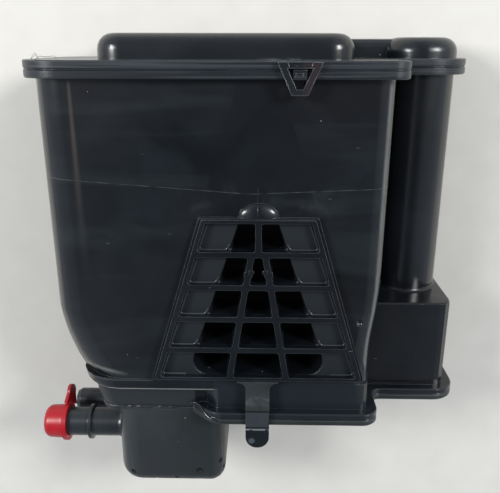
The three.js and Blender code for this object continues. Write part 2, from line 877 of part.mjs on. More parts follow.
// A moulded V hangs from the cover's flange over the catch on the housing's flange.
function catchLoop() {
  const top = coverTop - 0.4;
  const ring = (armIn, high, low, radius) => roundedPath([
    [loopFromBracket - loopBottomWidth / 2 + armIn * 0.45, low, radius],
    [loopFromBracket + loopBottomWidth / 2 - armIn * 0.45, low, radius],
    [loopFromBracket + loopTopWidth / 2 - armIn, high, 0.5],
    [loopFromBracket - loopTopWidth / 2 + armIn, high, 0.5],
  ], 3);
  const face = flangeFront + gap;
  const front = face + loopThickness;
  const low = -loopDrop + 2.3;
  const loop = prism(ring(0, top, -loopDrop, 2), face, front)
    .subtract(prism(ring(loopArm, top - 2.4, low, 0.6), face - 1, front + 1))
    .subtract(prism(ring(loopArm, top + 1, low, 0.6), front - loopSunk, front + 1));
  const root = block(
    [loopFromBracket - loopTopWidth / 2 + 1, loopFromBracket + loopTopWidth / 2 - 1],
    [coverTop - 2.6, top],
    [flangeFront - 1, face + 0.5],
  );
  return loop.add(root);
}

// ---- Lower cover with the filter cup and both hose spigots ----

function cupBox(by) {
  return inset({
    left: cupLeft,
    right: cupRight,
    back: cupBack,
    front: cupFront,
    leftRadius: cupCorner,
    rightRadius: rightCorner,
  }, by);
}

function lowerDomeBox(by) {
  return inset({
    left: cupRight + 4,
    right: boxRight - 2,
    back: chamberBack + 4,
    front: chamberBack + boxDepth - 2,
    leftRadius: 8,
    rightRadius: 8,
  }, by);
}

function lowerCover() {
  const tip = lowerFlangeBottom - lowerDomeHeight;
  const shell = joined([
    flange(lowerFlangeOutline(), lowerFlangeBottom, lowerFlangeTop),
    loft([lowerFlangeTop - collarThickness, lowerFlangeTop]
      .map((y) => roundedLoop(inset(skirtSection(skirtDepth), -collarProud), y))),
    domeSolid(cupBox(0), lowerFlangeTop, cupBottom, cupFillet),
    domeSolid(lowerDomeBox(0), lowerFlangeBottom + 1, tip, 3, 3),
    turnedAlongX(spigotProfile(), cupLeft, spigotY, spigotZ),
    turnedAlongX(portProfile(), cupLeft, spigotY, portZ),
  ]);
  const space = joined([
    domeSolid(cupBox(wall), lowerFlangeTop + 1, cupBottom + wall, cupFillet - wall, 3),
    domeSolid(lowerDomeBox(wall), lowerFlangeTop + 1, tip + wall, 1, 3),
    turnedAlongX(boreProfile(spigotBore, spigotTip), cupLeft, spigotY, spigotZ),
    turnedAlongX(boreProfile(portBore, portTip), cupLeft, spigotY, portZ),
  ]);
  return shell.subtract(space);
}

// The hose spigot flares into the cup, and a bead on it stops the hose.
function spigotProfile() {
  const chamfer = 0.8;
  return [
    [0, -wall],
    [spigotRadius + 2, -wall],
    [spigotRadius + 2, 0.6],
    [spigotRadius + 0.7, 1.6],
    [spigotRadius, 3.4],
    [spigotRadius, beadFromCup - 0.8],
    [beadRadius, beadFromCup],
    [beadRadius, beadFromCup + beadWidth],
    [spigotRadius, beadFromCup + beadWidth + 0.8],
    [spigotRadius, spigotTip - chamfer],
    [spigotRadius - chamfer, spigotTip],
    [0, spigotTip],
  ];
}

function portProfile() {
  const chamfer = 1.2;
  return [
    [0, -wall],
    [portRadius + 1, -wall],
    [portRadius + 1, 1],
    [portRadius, 2],
    [portRadius, portTip - chamfer - 1],
    [portRadius - chamfer, portTip],
    [0, portTip],
  ];
}

function boreProfile(radius, tip) {
  return [[0, -wall - 2], [radius, -wall - 2], [radius, tip + 1], [0, tip + 1]];
}

// ---- Red dust cap on the front spigot ----

function dustCap() {
  const inner = spigotRadius + gap;
  const outer = inner + capWall;
  const open = spigotTip - capDepth;
  const floor = spigotTip + gap;
  const end = floor + capWall + 0.6;
  const profile = [
    [inner, open],
    [capRimRadius, open],
    [capRimRadius, open + capRimWidth],
    [outer + 0.3, open + capRimWidth + 0.5],
    [outer, open + capRimWidth + 1.5],
    [outer - 0.3, end - 3.6],
    [outer - 0.8, end - 2],
    [outer - 1.8, end - 0.8],
    [outer - 3.4, end - 0.2],
    [0, end],
    [0, floor],
    [inner, floor],
    [inner, open],
  ];
  const cap = turnedAlongX(profile, cupLeft, spigotY, spigotZ);
  return cap.add(capTab(outer + 0.2, cupLeft - open));
}

// A leaf-shaped tab that leaves the rim and leans back. Its face towards the cup lies at x = face.
function capTab(low, face) {
  const half = capTabWidth / 2;
  const root = capTabRoot / 2;
  const far = capRimRadius + capTabLength;
  const geometry = new THREE.ExtrudeGeometry(new THREE.Shape(roundedPath([
    [-root, low, 0],
    [-half, (low + far) / 2, 5],
    [-half, far, half - 0.05],
    [half, far, half - 0.05],
    [half, (low + far) / 2, 5],
    [root, low, 0],
  ].reverse(), 4)), { depth: capTabThickness, bevelEnabled: false });
  geometry.translate(0, 0, -capTabThickness);
  geometry.rotateY(Math.PI / 2 - capTabTwist);
  geometry.rotateX(-capTabTilt);
  geometry.translate(face, spigotY, spigotZ);
  return solid(geometry);
}

// ---- Inside the main chamber ----

const pipeX = cupLeft + pipeRun;
const clear = wall + gap;
const gridTop = -floorHeight + gap + gridLegs + plateThickness;
const lowerFeltTop = gridTop + gap + feltThickness;
const upperFeltTop = platePlane - plateThickness - gap;
const bedTop = upperFeltTop - feltThickness - gap;

function chamberLayer(top, bottom) {
  return chamberSolid(clear, top, bottom).subtract(pocketBlock(gap));
}

const slotBack = chamberBack + slotMargin;
const slotFront = pocketFloor - wall - 2;
const slotMiddle = (slotBack + slotFront) / 2;

// Rows of slots let vapour through a plate and keep the felt back.
function slots(low, high) {
  const cuts = [];
  const pitch = (chamberRight - chamberLeft - 2 * slotMargin) / slotColumns;
  for (let column = 0; column < slotColumns; column++) {
    const x = chamberLeft + slotMargin + pitch * (column + 0.5);
    const across = [x - pitch / 4, x + pitch / 4];
    cuts.push(block(across, [low, high], [slotBack, slotMiddle - slotWeb / 2]));
    cuts.push(block(across, [low, high], [slotMiddle + slotWeb / 2, slotFront]));
  }
  return joined(cuts);
}

function mainPressurePlate() {
  const bottom = platePlane - plateThickness;
  const outer = springRadius - springWire - springPlay;
  const top = platePlane + springRim;
  const rims = springCentres().map(([x, z]) => rod(x, z, outer, platePlane - 0.5, top, 20)
    .subtract(rod(x, z, outer - 1.8, platePlane - 1, top + 1, 20)));
  return chamberLayer(platePlane, bottom)
    .subtract(slots(bottom - 1, platePlane + 1))
    .add(joined(rims));
}

function mainSupportGrid() {
  const low = -floorHeight + gap;
  const plate = chamberLayer(gridTop, gridTop - plateThickness)
    .subtract(slots(gridTop - plateThickness - 1, gridTop + 1));
  const legs = [];
  const pitch = (chamberRight - chamberLeft - 2 * legMargin) / (legColumns - 1);
  for (let column = 0; column < legColumns; column++) {
    const x = chamberLeft + legMargin + column * pitch;
    const across = [x - legThickness / 2, x + legThickness / 2];
    for (const z of [slotBack, slotMiddle]) {
      legs.push(block(across, [low, gridTop - 1], [z - legWidth / 2, z + legWidth / 2]));
    }
  }
  return plate.add(joined(legs));
}

function springCentres() {
  const middle = (chamberLeft + domeLeftInset + chamberRight - domeRightInset) / 2;
  const z = chamberBack + chamberDepth / 2;
  return [-1, 1].map((side) => [middle + (side * springSpread) / 2, z]);
}

// A round wire wound about an axis along Y, from low to high.
class Helix extends THREE.Curve {
  constructor(x, z, radius, low, high) {
    super();
    Object.assign(this, { x, z, radius, low, high });
  }

  getPoint(t, target = new THREE.Vector3()) {
    const angle = t * springTurns * 2 * Math.PI;
    const y = THREE.MathUtils.lerp(this.low, this.high, t);
    return target.set(this.x + this.radius * Math.cos(angle), y, this.z + this.radius * Math.sin(angle));
  }
}

function coilSpring(x, z, radius, low, high) {
  const half = springWire / 2;
  const section = new THREE.Shape(Array.from({ length: 5 }, (_, i) => new THREE.Vector2(
    half * Math.cos((i / 5) * 2 * Math.PI),
    half * Math.sin((i / 5) * 2 * Math.PI),
  )));
  return solid(new THREE.ExtrudeGeometry(section, {
    steps: Math.round(springTurns * 6),
    extrudePath: new Helix(x, z, radius, low + half, high - half),
    bevelEnabled: false,
  }));
}

// ---- Inside the side chamber ----

const sidePlane = platePlane;
const sideFeltTop = sidePlane - plateThickness - gap;
const sideBedTop = sideFeltTop - feltThickness - gap;
const sideLowerFeltTop = sideBedTop - sideBedLength - gap;
const scrubberTop = sideLowerFeltTop - feltThickness - gap;
const scrubberBottom = -boxTop + gap;

function sideDisc(top, bottom) {
  return tubeSolid(innerTubeRadius - gap, bottom, top);
}

function sidePressurePlate() {
  const holes = [rod(tubeX, tubeZ, 2.5, sidePlane - plateThickness - 1, sidePlane + 1, 12)];
  for (let i = 0; i < 6; i++) {
    const angle = (i / 6) * 2 * Math.PI;
    const x = tubeX + plateHoleCircle * Math.cos(angle);
    const z = tubeZ + plateHoleCircle * Math.sin(angle);
    holes.push(rod(x, z, plateHole, sidePlane - plateThickness - 1, sidePlane + 1, 10));
  }
  return sideDisc(sidePlane, sidePlane - plateThickness).subtract(joined(holes));
}

function scrubberSeal(low) {
  return tubeSolid(innerTubeRadius - gap, low, low + sealThickness)
    .subtract(tubeSolid(scrubberRadius + gap, low - 1, low + sealThickness + 1));
}

// A carbon block with square channels from end to end.
function scrubberHoneycomb() {
  const channels = [];
  const reach = scrubberRadius - honeycombWall - 0.4;
  const open = (honeycombPitch - honeycombWall) / 2;
  const count = Math.floor(reach / honeycombPitch) + 1;
  for (let column = -count; column <= count; column++) {
    for (let row = -count; row <= count; row++) {
      const x = column * honeycombPitch;
      const z = row * honeycombPitch;
      if (Math.hypot(Math.abs(x) + open, Math.abs(z) + open) > reach) continue;
      channels.push(block(
        [tubeX + x - open, tubeX + x + open],
        [scrubberBottom - 1, scrubberTop + 1],
        [tubeZ + z - open, tubeZ + z + open],
      ));
    }
  }
  return tubeSolid(scrubberRadius, scrubberBottom, scrubberTop).subtract(joined(channels));
}

// ---- Inside the filter cup ----

// The vapour pipe leads from the rear port through the cup and up into the chamber's floor.
function vapourPipe() {
  const start = cupLeft + wall + pipeSeat;
  const end = -floorHeight - gap;
  const path = new THREE.CurvePath();
  const corner = new THREE.Vector3(pipeX, spigotY, portZ);
  const bendStart = corner.clone().setX(pipeX - pipeBend);
  const bendEnd = corner.clone().setY(spigotY + pipeBend);
  path.add(new THREE.LineCurve3(new THREE.Vector3(start, spigotY, portZ), bendStart));
  path.add(new THREE.QuadraticBezierCurve3(bendStart, corner, bendEnd));
  path.add(new THREE.LineCurve3(bendEnd, new THREE.Vector3(pipeX, end, portZ)));
  const section = new THREE.Shape();
  section.absarc(0, 0, pipeRadius, 0, 2 * Math.PI);
  const bore = new THREE.Path();
  bore.absarc(0, 0, portBore, 0, 2 * Math.PI, true);
  section.holes.push(bore);
  return solid(new THREE.ExtrudeGeometry(section, {
    steps: 14,
    curveSegments: 7,
    extrudePath: path,
    bevelEnabled: false,
  }));
}

function vapourPipeSeal() {
  const top = -floorHeight - wall - gap;
  return rod(pipeX, portZ, pipeRadius + 2.6, top - 3, top, 24)
    .subtract(rod(pipeX, portZ, pipeRadius + gap, top - 4, top + 1, 24));
}

const cupFloor = cupBottom + wall;
const foamFront = cupFront - wall - gap;
const foamBack = foamFront - foamDepth;
const foamRange = [cupLeft + wall + 2, cupRight - wall - gap];
const foamTop = lowerFlangeTop - 3;

function airFilterFoam() {
  const box = {
    left: foamRange[0],
    right: foamRange[1],
    back: foamBack,
    front: foamFront,
    leftRadius: cupCorner - wall,
    rightRadius: rightCorner - wall,
  };
  return domeSolid(box, foamTop, cupFloor + gap, cupFillet - wall, 3);
}

// A ribbed plate keeps the foam away from the vapour pipe.
function filterRetainer() {
  const front = foamBack - gap;
  const plate = block(
    [cupLeft + wall + gap, cupRight - wall - gap],
    [cupFloor + cupFillet, foamTop],
    [front - retainerThickness, front],
  );
  const windows = [];
  const pitch = (foamRange[1] - foamRange[0] - 2 * windowMargin) / windowCount;
  for (let i = 0; i < windowCount; i++) {
    const x = foamRange[0] + windowMargin + i * pitch;
    windows.push(block(
      [x, x + pitch * 0.62],
      [cupFloor + windowFoot, foamTop - windowHead],
      [front - 5, front + 1],
    ));
  }
  return plate.subtract(joined(windows));
}

// ---- The assembly ----

const finishes = {
  nylon: new THREE.MeshStandardMaterial({ color: '#262a2d', roughness: 0.42, metalness: 0 }),
  coverNylon: new THREE.MeshStandardMaterial({ color: '#2b2f31', roughness: 0.34, metalness: 0 }),
  lowerNylon: new THREE.MeshStandardMaterial({ color: '#303436', roughness: 0.5, metalness: 0 }),
  redVinyl: new THREE.MeshStandardMaterial({ color: '#d0202e', roughness: 0.45, metalness: 0 }),
  carbon: new THREE.MeshStandardMaterial({ color: '#17181a', roughness: 0.95, metalness: 0 }),
  felt: new THREE.MeshStandardMaterial({ color: '#d8d4c8', roughness: 1, metalness: 0 }),
  whiteNylon: new THREE.MeshStandardMaterial({ color: '#c9c8c0', roughness: 0.5, metalness: 0 }),
  springSteel: new THREE.MeshStandardMaterial({ color: '#9a9ea3', roughness: 0.3, metalness: 1 }),
  rubber: new THREE.MeshStandardMaterial({ color: '#1c1c1d', roughness: 0.8, metalness: 0 }),
  foam: new THREE.MeshStandardMaterial({ color: '#3a3f45', roughness: 1, metalness: 0 }),
};

const canister = new THREE.Group();

function place(name, finish, shape) {
  const mesh = new THREE.Mesh(geometryOf(shape), finishes[finish].clone());
  mesh.name = name;
  canister.add(mesh);
}

place('housing', 'nylon', housing());
place('latch_tongue', 'nylon', latchTongue());
place('end_cover', 'coverNylon', endCover());
place('lower_cover', 'lowerNylon', lowerCover());
place('dust_cap', 'redVinyl', dustCap());

place('main_support_grid', 'whiteNylon', mainSupportGrid());
place('main_lower_felt', 'felt', chamberLayer(lowerFeltTop, lowerFeltTop - feltThickness));
place('main_carbon_bed', 'carbon', chamberLayer(bedTop, lowerFeltTop + gap));
place('main_upper_felt', 'felt', chamberLayer(upperFeltTop, upperFeltTop - feltThickness));
place('main_pressure_plate', 'whiteNylon', mainPressurePlate());
springCentres().forEach(([x, z], i) => {
  const name = ['main_spring_left', 'main_spring_right'][i];
  place(name, 'springSteel', coilSpring(x, z, springRadius, platePlane + gap, domeTop - wall - gap));
});

place('scrubber_lower_seal', 'rubber', scrubberSeal(scrubberBottom));
place('scrubber_honeycomb', 'carbon', scrubberHoneycomb());
place('scrubber_upper_seal', 'rubber', scrubberSeal(scrubberTop - sealThickness));
place('side_lower_felt', 'felt', sideDisc(sideLowerFeltTop, sideLowerFeltTop - feltThickness));
place('side_carbon_bed', 'carbon', sideDisc(sideBedTop, sideBedTop - sideBedLength));
place('side_upper_felt', 'felt', sideDisc(sideFeltTop, sideFeltTop - feltThickness));
place('side_pressure_plate', 'whiteNylon', sidePressurePlate());
place('side_spring', 'springSteel',
  coilSpring(tubeX, tubeZ, sideSpringRadius, sidePlane + gap, sideDomeTop - wall - gap));

place('vapour_pipe', 'lowerNylon', vapourPipe());
place('vapour_pipe_seal', 'rubber', vapourPipeSeal());
place('air_filter_foam', 'foam', airFilterFoam());
place('filter_retainer', 'whiteNylon', filterRetainer());

// The origin is the middle of the footprint, on the plane that the canister lies on.
const extent = new THREE.Box3().setFromObject(canister);
const middle = extent.getCenter(new THREE.Vector3());
canister.position.set(-middle.x, -middle.y, -extent.min.z);

export default canister;
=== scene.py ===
"""Looks of a welded nylon vapour canister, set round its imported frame. Metres."""

import json
import math
import random

import bpy
from mathutils import Euler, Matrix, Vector

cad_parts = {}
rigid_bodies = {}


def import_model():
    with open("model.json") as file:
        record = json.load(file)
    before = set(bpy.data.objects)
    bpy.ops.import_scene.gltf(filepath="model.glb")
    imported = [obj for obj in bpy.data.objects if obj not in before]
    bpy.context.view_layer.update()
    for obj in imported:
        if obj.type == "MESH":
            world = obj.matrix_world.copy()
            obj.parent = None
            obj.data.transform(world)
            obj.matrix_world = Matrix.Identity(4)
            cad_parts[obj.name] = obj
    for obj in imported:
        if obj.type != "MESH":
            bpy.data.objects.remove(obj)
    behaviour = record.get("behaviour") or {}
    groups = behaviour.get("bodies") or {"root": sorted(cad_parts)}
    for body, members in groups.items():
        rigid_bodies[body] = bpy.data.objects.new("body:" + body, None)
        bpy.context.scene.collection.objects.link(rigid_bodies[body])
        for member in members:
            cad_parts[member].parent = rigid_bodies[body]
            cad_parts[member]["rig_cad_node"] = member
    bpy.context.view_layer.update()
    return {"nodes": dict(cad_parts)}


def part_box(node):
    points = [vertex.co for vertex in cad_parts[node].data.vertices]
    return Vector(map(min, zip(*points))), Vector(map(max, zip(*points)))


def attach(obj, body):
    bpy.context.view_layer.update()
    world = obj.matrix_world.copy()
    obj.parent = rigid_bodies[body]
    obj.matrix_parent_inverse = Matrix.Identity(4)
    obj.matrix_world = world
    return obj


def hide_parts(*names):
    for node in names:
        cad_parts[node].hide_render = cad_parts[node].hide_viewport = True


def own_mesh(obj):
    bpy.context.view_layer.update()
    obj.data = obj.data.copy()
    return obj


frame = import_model()

# ---- Housing ----
# The real piece is one moulding in black glass-filled nylon: main chamber, side tube and bracket.
# Its tool gives a satin face with a fine grain. Handling has left haze, nicks and dust.
# Places are in millimetres right of the bracket's middle, above the housing's top and forward.

MM = 0.001
bracket_from_left = 103.5
housing_low, housing_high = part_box("housing")
BRACKET_X = housing_low.x + bracket_from_left * MM
HOUSING_TOP = housing_high.y


def at(x, y, z):
    """A place in millimetres right of the bracket's middle, above the housing's top and forward."""
    return Vector((BRACKET_X + x * MM, HOUSING_TOP + y * MM, z * MM))


def linear(hex_colour):
    """The linear colour of an sRGB hex value."""
    parts = [int(hex_colour[i : i + 2], 16) / 255 for i in (0, 2, 4)]
    return [p / 12.92 if p <= 0.04045 else ((p + 0.055) / 1.055) ** 2.4 for p in parts] + [1.0]


def put(tree, kind, inputs=None, **settings):
    """Adds a node, sets it and fills its inputs. A node given as a value joins by its first output."""
    made = tree.nodes.new("ShaderNode" + kind)
    for name, value in settings.items():
        setattr(made, name, value)
    for name, value in (inputs or {}).items():
        if isinstance(value, bpy.types.Node):
            value = value.outputs[0]
        if isinstance(value, bpy.types.NodeSocket):
            tree.links.new(value, made.inputs[name])
        else:
            made.inputs[name].default_value = value
    return made


def meet(tree, *masks):
    """The part of a surface where all the masks meet. A plain number thins it."""
    made = masks[0]
    for mask in masks[1:]:
        made = put(tree, "Math", {0: made, 1: mask}, operation="MULTIPLY")
    return made


def past(tree, axis, start, full):
    """A soft limit along an axis: 0 up to start and 1 from full on, in millimetres."""
    return put(tree, "MapRange", {"Value": axis, "From Min": start * MM, "From Max": full * MM})


def near(tree, axis, line, edge, core):
    """A soft stripe along a line: 0 further off than edge and 1 nearer than core, in millimetres."""
    off = put(tree, "Math", {0: axis, 1: line * MM}, operation="SUBTRACT")
    return past(tree, put(tree, "Math", {0: off}, operation="ABSOLUTE"), edge, core)


def patchy(tree, place, size, low, high, detail=2.0, distortion=0.0):
    """Clouds of a size in millimetres: 0 where their noise is at low, 1 where it is at high."""
    inputs = {"Vector": place, "Scale": 1 / (size * MM), "Detail": detail, "Distortion": distortion}
    clouds = put(tree, "TexNoise", inputs)
    return put(tree, "MapRange", {"Value": clouds, "From Min": low, "From Max": high})


def flecks(tree, place, turn, length, width, reach, kept):
    """Rare spots, one in some of the cells of a turned grid. Cells are in millimetres."""
    drawn = (width / length, 1, width / length)
    grid = put(tree, "Mapping", {"Vector": place, "Rotation": (0, 0, turn), "Scale": drawn})
    cells = put(tree, "TexVoronoi", {"Vector": grid, "Scale": 1 / (width * MM)})
    inputs = {"Value": cells.outputs["Distance"], "From Min": reach, "From Max": reach * 0.6}
    lot = put(tree, "SeparateColor", {"Color": cells.outputs["Color"]})
    rare = put(tree, "Math", {0: lot, 1: kept}, operation="LESS_THAN")
    return meet(tree, put(tree, "MapRange", inputs), rare)


def new_material(name):
    """An empty node material, its tree and its Object coordinates."""
    material = bpy.data.materials.new(name)
    material.use_nodes = True
    tree = material.node_tree
    tree.nodes.clear()
    return material, tree, put(tree, "TexCoord").outputs["Object"]


def moulded_nylon(name, dark, pale, warm, rough, haze, edge=0.2, worn=1.0):
    """Black nylon: cloudy haze, a slow drift of tint, dust, nicks, rubbed edges with a painted edge
    highlight and a fine grain.
    """
    material, tree, place = new_material(name)
    cloud = patchy(tree, place, 41.7, 0.38, 0.7, detail=6.0, distortion=0.6)
    drift = patchy(tree, place, 76.9, 0.35, 0.7, detail=1.0)

    # specks of dust about 0.6 mm across, and nicks 2 to 3 mm long in two directions
    speck = flecks(tree, place, turn=0.0, length=8.333, width=8.333, reach=0.045, kept=0.2 * worn)
    nick = flecks(tree, place, turn=1.9, length=13.333, width=2.0, reach=0.11, kept=0.03 * worn)
    cut = flecks(tree, place, turn=0.9, length=9.091, width=1.667, reach=0.12, kept=0.03 * worn)
    nicks = put(tree, "Math", {0: nick, 1: cut}, operation="MAXIMUM")
    rough_spots = put(tree, "Math", {0: speck, 1: nick}, operation="MAXIMUM")

    # edges are rubbed pale and also carry a painted pale highlight, more in some places than in others
    eased = put(tree, "Bevel", {"Radius": edge * MM}, samples=8)
    flat = put(tree, "NewGeometry").outputs["Normal"]
    level = put(tree, "VectorMath", {0: eased, 1: flat}, operation="DOT_PRODUCT").outputs["Value"]
    brink = put(tree, "MapRange", {"Value": level, "From Min": 0.995, "From Max": 0.93})
    rubbed_edge_highlight = meet(tree, brink, patchy(tree, place, 11.1, 0.2, 0.55, detail=3.0))

    tint = linear(dark)
    for mask, strength, colour in (
        (cloud, 1.0, pale), (drift, 0.6, warm), (nicks, 0.3, "767C80"), (speck, 0.75, "A9ABA8"),
        (rubbed_edge_highlight, 0.75, "666C70"),
    ):
        inputs = {"Factor": meet(tree, mask, strength), 6: tint, 7: linear(colour)}
        tint = put(tree, "Mix", inputs, data_type="RGBA").outputs[2]
    dulled = put(tree, "Math", {0: cloud, 1: haze, 2: rough}, operation="MULTIPLY_ADD")
    spread = put(tree, "Math", {0: rough_spots, 1: 0.3, 2: dulled}, operation="MULTIPLY_ADD")

    # a grain of 0.6 mm lies over a slow waviness of 8 mm
    wave = put(tree, "TexNoise", {"Vector": place, "Scale": 1 / (8.33 * MM)})
    grain = put(tree, "TexNoise", {"Vector": place, "Scale": 1 / (0.588 * MM), "Detail": 3.0})
    skin = eased
    for height, depth, strength in ((wave, 0.05, 0.5), (grain, 0.015, 0.4)):
        inputs = {"Height": height, "Distance": depth * MM, "Strength": strength, "Normal": skin}
        skin = put(tree, "Bump", inputs)
    surface = put(tree, "BsdfPrincipled", {
        "Base Color": tint, "Roughness": spread, "Normal": skin, "IOR": 1.53, "Metallic": 0.0,
    })
    put(tree, "OutputMaterial", {"Surface": surface})
    return material


def axes(material):
    """A finish's tree and Object coordinates, and how far places lie across, up and forward."""
    tree = material.node_tree
    place = put(tree, "TexCoord").outputs["Object"]
    inputs = {0: place, 1: (BRACKET_X, HOUSING_TOP, 0)}
    measured = put(tree, "VectorMath", inputs, operation="SUBTRACT")
    return tree, place, *put(tree, "SeparateXYZ", {"Vector": measured}).outputs


def lay_over(material, mask, colour, strength, rough):
    """Lays another colour and roughness over a finish where the mask says so."""
    tree = material.node_tree
    surface = next(node for node in tree.nodes if node.type == "BSDF_PRINCIPLED")
    base = surface.inputs["Base Color"].links[0].from_socket
    spread = surface.inputs["Roughness"].links[0].from_socket
    part = meet(tree, mask, strength)
    tint = put(tree, "Mix", {"Factor": part, 6: base, 7: linear(colour)}, data_type="RGBA")
    gloss = put(tree, "Mix", {"Factor": part, 2: spread, 3: rough})
    tree.links.new(tint.outputs[2], surface.inputs["Base Color"])
    tree.links.new(gloss.outputs[0], surface.inputs["Roughness"])


def striate(material, tree, place, mask):
    """Dull lengthwise lines, as the weld's clamping leaves on the front of a flange."""
    length = 71.4
    gap = 0.909
    drawn = (gap / length, 1, gap / length)
    grid = put(tree, "Mapping", {"Vector": place, "Scale": drawn})
    lines = patchy(tree, grid, gap, 0.4, 0.62, detail=3.0)
    lay_over(material, mask, "161A1E", strength=0.8, rough=0.36)
    lay_over(material, meet(tree, mask, lines), "3A4046", strength=0.6, rough=0.46)


def dress(piece, body, material):
    """Gives a piece its one material and the body that carries it."""
    piece.data.materials.clear()
    piece.data.materials.append(material)
    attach(piece, body)
    return piece


def even_out(piece, angle=24):
    """Smooth shading: a corner takes the mean of the faces round it that lie within the angle."""
    mesh = piece.data
    fans = {}
    for face in mesh.polygons:
        ring = [mesh.vertices[index].co for index in face.vertices]
        for turn, index in enumerate(face.vertices):
            ahead = ring[(turn + 1) % len(ring)] - ring[turn]
            weight = face.area * ahead.angle(ring[turn - 1] - ring[turn], 0.0)
            fans.setdefault(index, []).append((face.normal.copy(), weight))
    alike = math.cos(math.radians(angle))
    normals = [None] * len(mesh.loops)
    for face in mesh.polygons:
        for loop, index in zip(face.loop_indices, face.vertices):
            mean = Vector()
            for normal, weight in fans[index]:
                if normal.dot(face.normal) > alike:
                    mean += normal * weight
            normals[loop] = mean.normalized()
    mesh.shade_smooth()
    mesh.normals_split_custom_set(normals)


def take_up(piece):
    """Makes a piece the one that the next operator acts on."""
    bpy.ops.object.select_all(action="DESELECT")
    piece.select_set(True)
    bpy.context.view_layer.objects.active = piece


def moulding(node, name, body, material, angle=24):
    """A merged and smoothed copy of a moulded CAD node. It stands for the node."""
    take_up(frame["nodes"][node])
    bpy.ops.object.duplicate()
    piece = bpy.context.object
    piece.name = name
    del piece["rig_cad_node"]
    bpy.ops.object.mode_set(mode="EDIT")
    bpy.ops.mesh.select_all(action="SELECT")
    bpy.ops.mesh.remove_doubles(threshold=0.002 * MM)
    bpy.ops.object.mode_set(mode="OBJECT")
    even_out(piece, angle)
    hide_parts(node)
    return dress(piece, body, material)


# the tool's spark-eroded face and the glass fibres give a satin gloss with cloudy haze
shell_nylon = moulded_nylon(
    "satin_glass_filled_nylon", "0E1216", "181D22", "171517", rough=0.18, haze=0.09
)
tree, place, across, up, forward = axes(shell_nylon)
flange_edge = -3.6
in_front = past(tree, forward, 69.9, 70.1)
below_flange = past(tree, up, flange_edge, flange_edge - 1.0)
striate(shell_nylon, tree, place, past(tree, up, flange_edge - 0.1, flange_edge + 0.1))

# each side of the bracket slants out by 0.3003 mm with each mm down, from 7.9 mm at the top
outer_slant = 0.3003
inputs = {0: up, 1: -outer_slant, 2: 7.9 * MM}
half_width = put(tree, "Math", inputs, operation="MULTIPLY_ADD")
off_middle = put(tree, "Math", {0: across}, operation="ABSOLUTE")
beside = put(tree, "Math", {0: off_middle, 1: half_width}, operation="SUBTRACT")
in_bracket = past(tree, beside, 0.01, -0.01)

# the chamber's right front corner, where the wall turns aside, has a painted pale highlight all down its
# length
faces = put(tree, "NewGeometry").outputs["Normal"]
sideways = put(tree, "SeparateXYZ", {"Vector": faces})
turning = put(tree, "MapRange", {"Value": sideways, "From Min": 0.5, "From Max": 0.62})
not_turned = put(tree, "MapRange", {"Value": sideways, "From Min": 0.82, "From Max": 0.7})
corner = meet(
    tree, turning, not_turned, past(tree, forward, 67.9, 68.1), past(tree, across, 72.1, 71.9),
    past(tree, up, flange_edge, flange_edge - 0.6), past(tree, beside, 2.4, 2.6),
)
lay_over(shell_nylon, corner, "6C706E", strength=0.65, rough=0.35)

# the floors of the bracket's side cells are spark-eroded and duller
cell_floor = 81.2
eroded = meet(tree, in_bracket, near(tree, forward, cell_floor, 0.26, 0.24))
lay_over(shell_nylon, eroded, "1A1F23", strength=0.85, rough=0.44)

# a cloth has left faint slanting wipes on the front wall
wipe_length = 111
wipe_gap = 16.7
wipe_turn = (0, 0, 0.5)
drawn = (wipe_gap / wipe_length, 1, wipe_gap / wipe_length)
wiped = put(tree, "Mapping", {"Vector": place, "Rotation": wipe_turn, "Scale": drawn})
wipes = meet(
    tree, patchy(tree, wiped, wipe_gap, 0.48, 0.72, detail=4.0, distortion=0.8),
    past(tree, forward, 78.9, 79.1), past(tree, beside, -0.01, 0.01),
)
lay_over(shell_nylon, wipes, "242A2B", strength=0.45, rough=0.33)

# one long faint scratch crosses the front and bends at its lowest place, left of the middle
scratch_low_x = -3.9
scratch_low_y = -53.3
from_low = put(tree, "Math", {0: across, 1: scratch_low_x * MM}, operation="SUBTRACT")
falling = put(tree, "Math", {0: from_low, 1: -0.073}, operation="MULTIPLY")
rising = put(tree, "Math", {0: from_low, 1: 0.045}, operation="MULTIPLY")
slopes = put(tree, "Math", {0: falling, 1: rising}, operation="MAXIMUM")
over_slopes = put(tree, "Math", {0: up, 1: slopes}, operation="SUBTRACT")
scratch = meet(
    tree, near(tree, over_slopes, scratch_low_y, 0.24, 0.08), in_front,
    patchy(tree, place, 6.25, 0.3, 0.75, detail=3.0),
)
lay_over(shell_nylon, scratch, "484D50", strength=1.0, rough=0.4)

# rubbed haze lies round the hump above the bracket
rub = meet(
    tree, past(tree, up, -66, -60), past(tree, up, -46, -57),
    patchy(tree, place, 18.2, 0.48, 0.72, detail=5.0, distortion=1.5), near(tree, across, 0, 42, 30),
)
lay_over(shell_nylon, rub, "3A4043", strength=0.35, rough=0.45)

# a painted brownish reflection streak runs down the left edge of the front, clear at first and then faint
streak_x = -80.8
off_streak = put(tree, "Math", {0: across, 1: streak_x * MM}, operation="SUBTRACT")
off_streak = put(tree, "Math", {0: off_streak}, operation="ABSOLUTE")
reach = put(tree, "Math", {0: up, 1: -0.02, 2: 0.9 * MM}, operation="MULTIPLY_ADD")
ratio = put(tree, "Math", {0: off_streak, 1: reach}, operation="DIVIDE")
stripe = put(tree, "Math", {0: 1.0, 1: ratio}, operation="SUBTRACT", use_clamp=True)
fade = past(tree, up, -108, -30)
painted_reflection_streak = meet(tree, stripe, fade, fade, below_flange, in_front)
lay_over(shell_nylon, painted_reflection_streak, "4C4540", strength=0.6, rough=0.3)
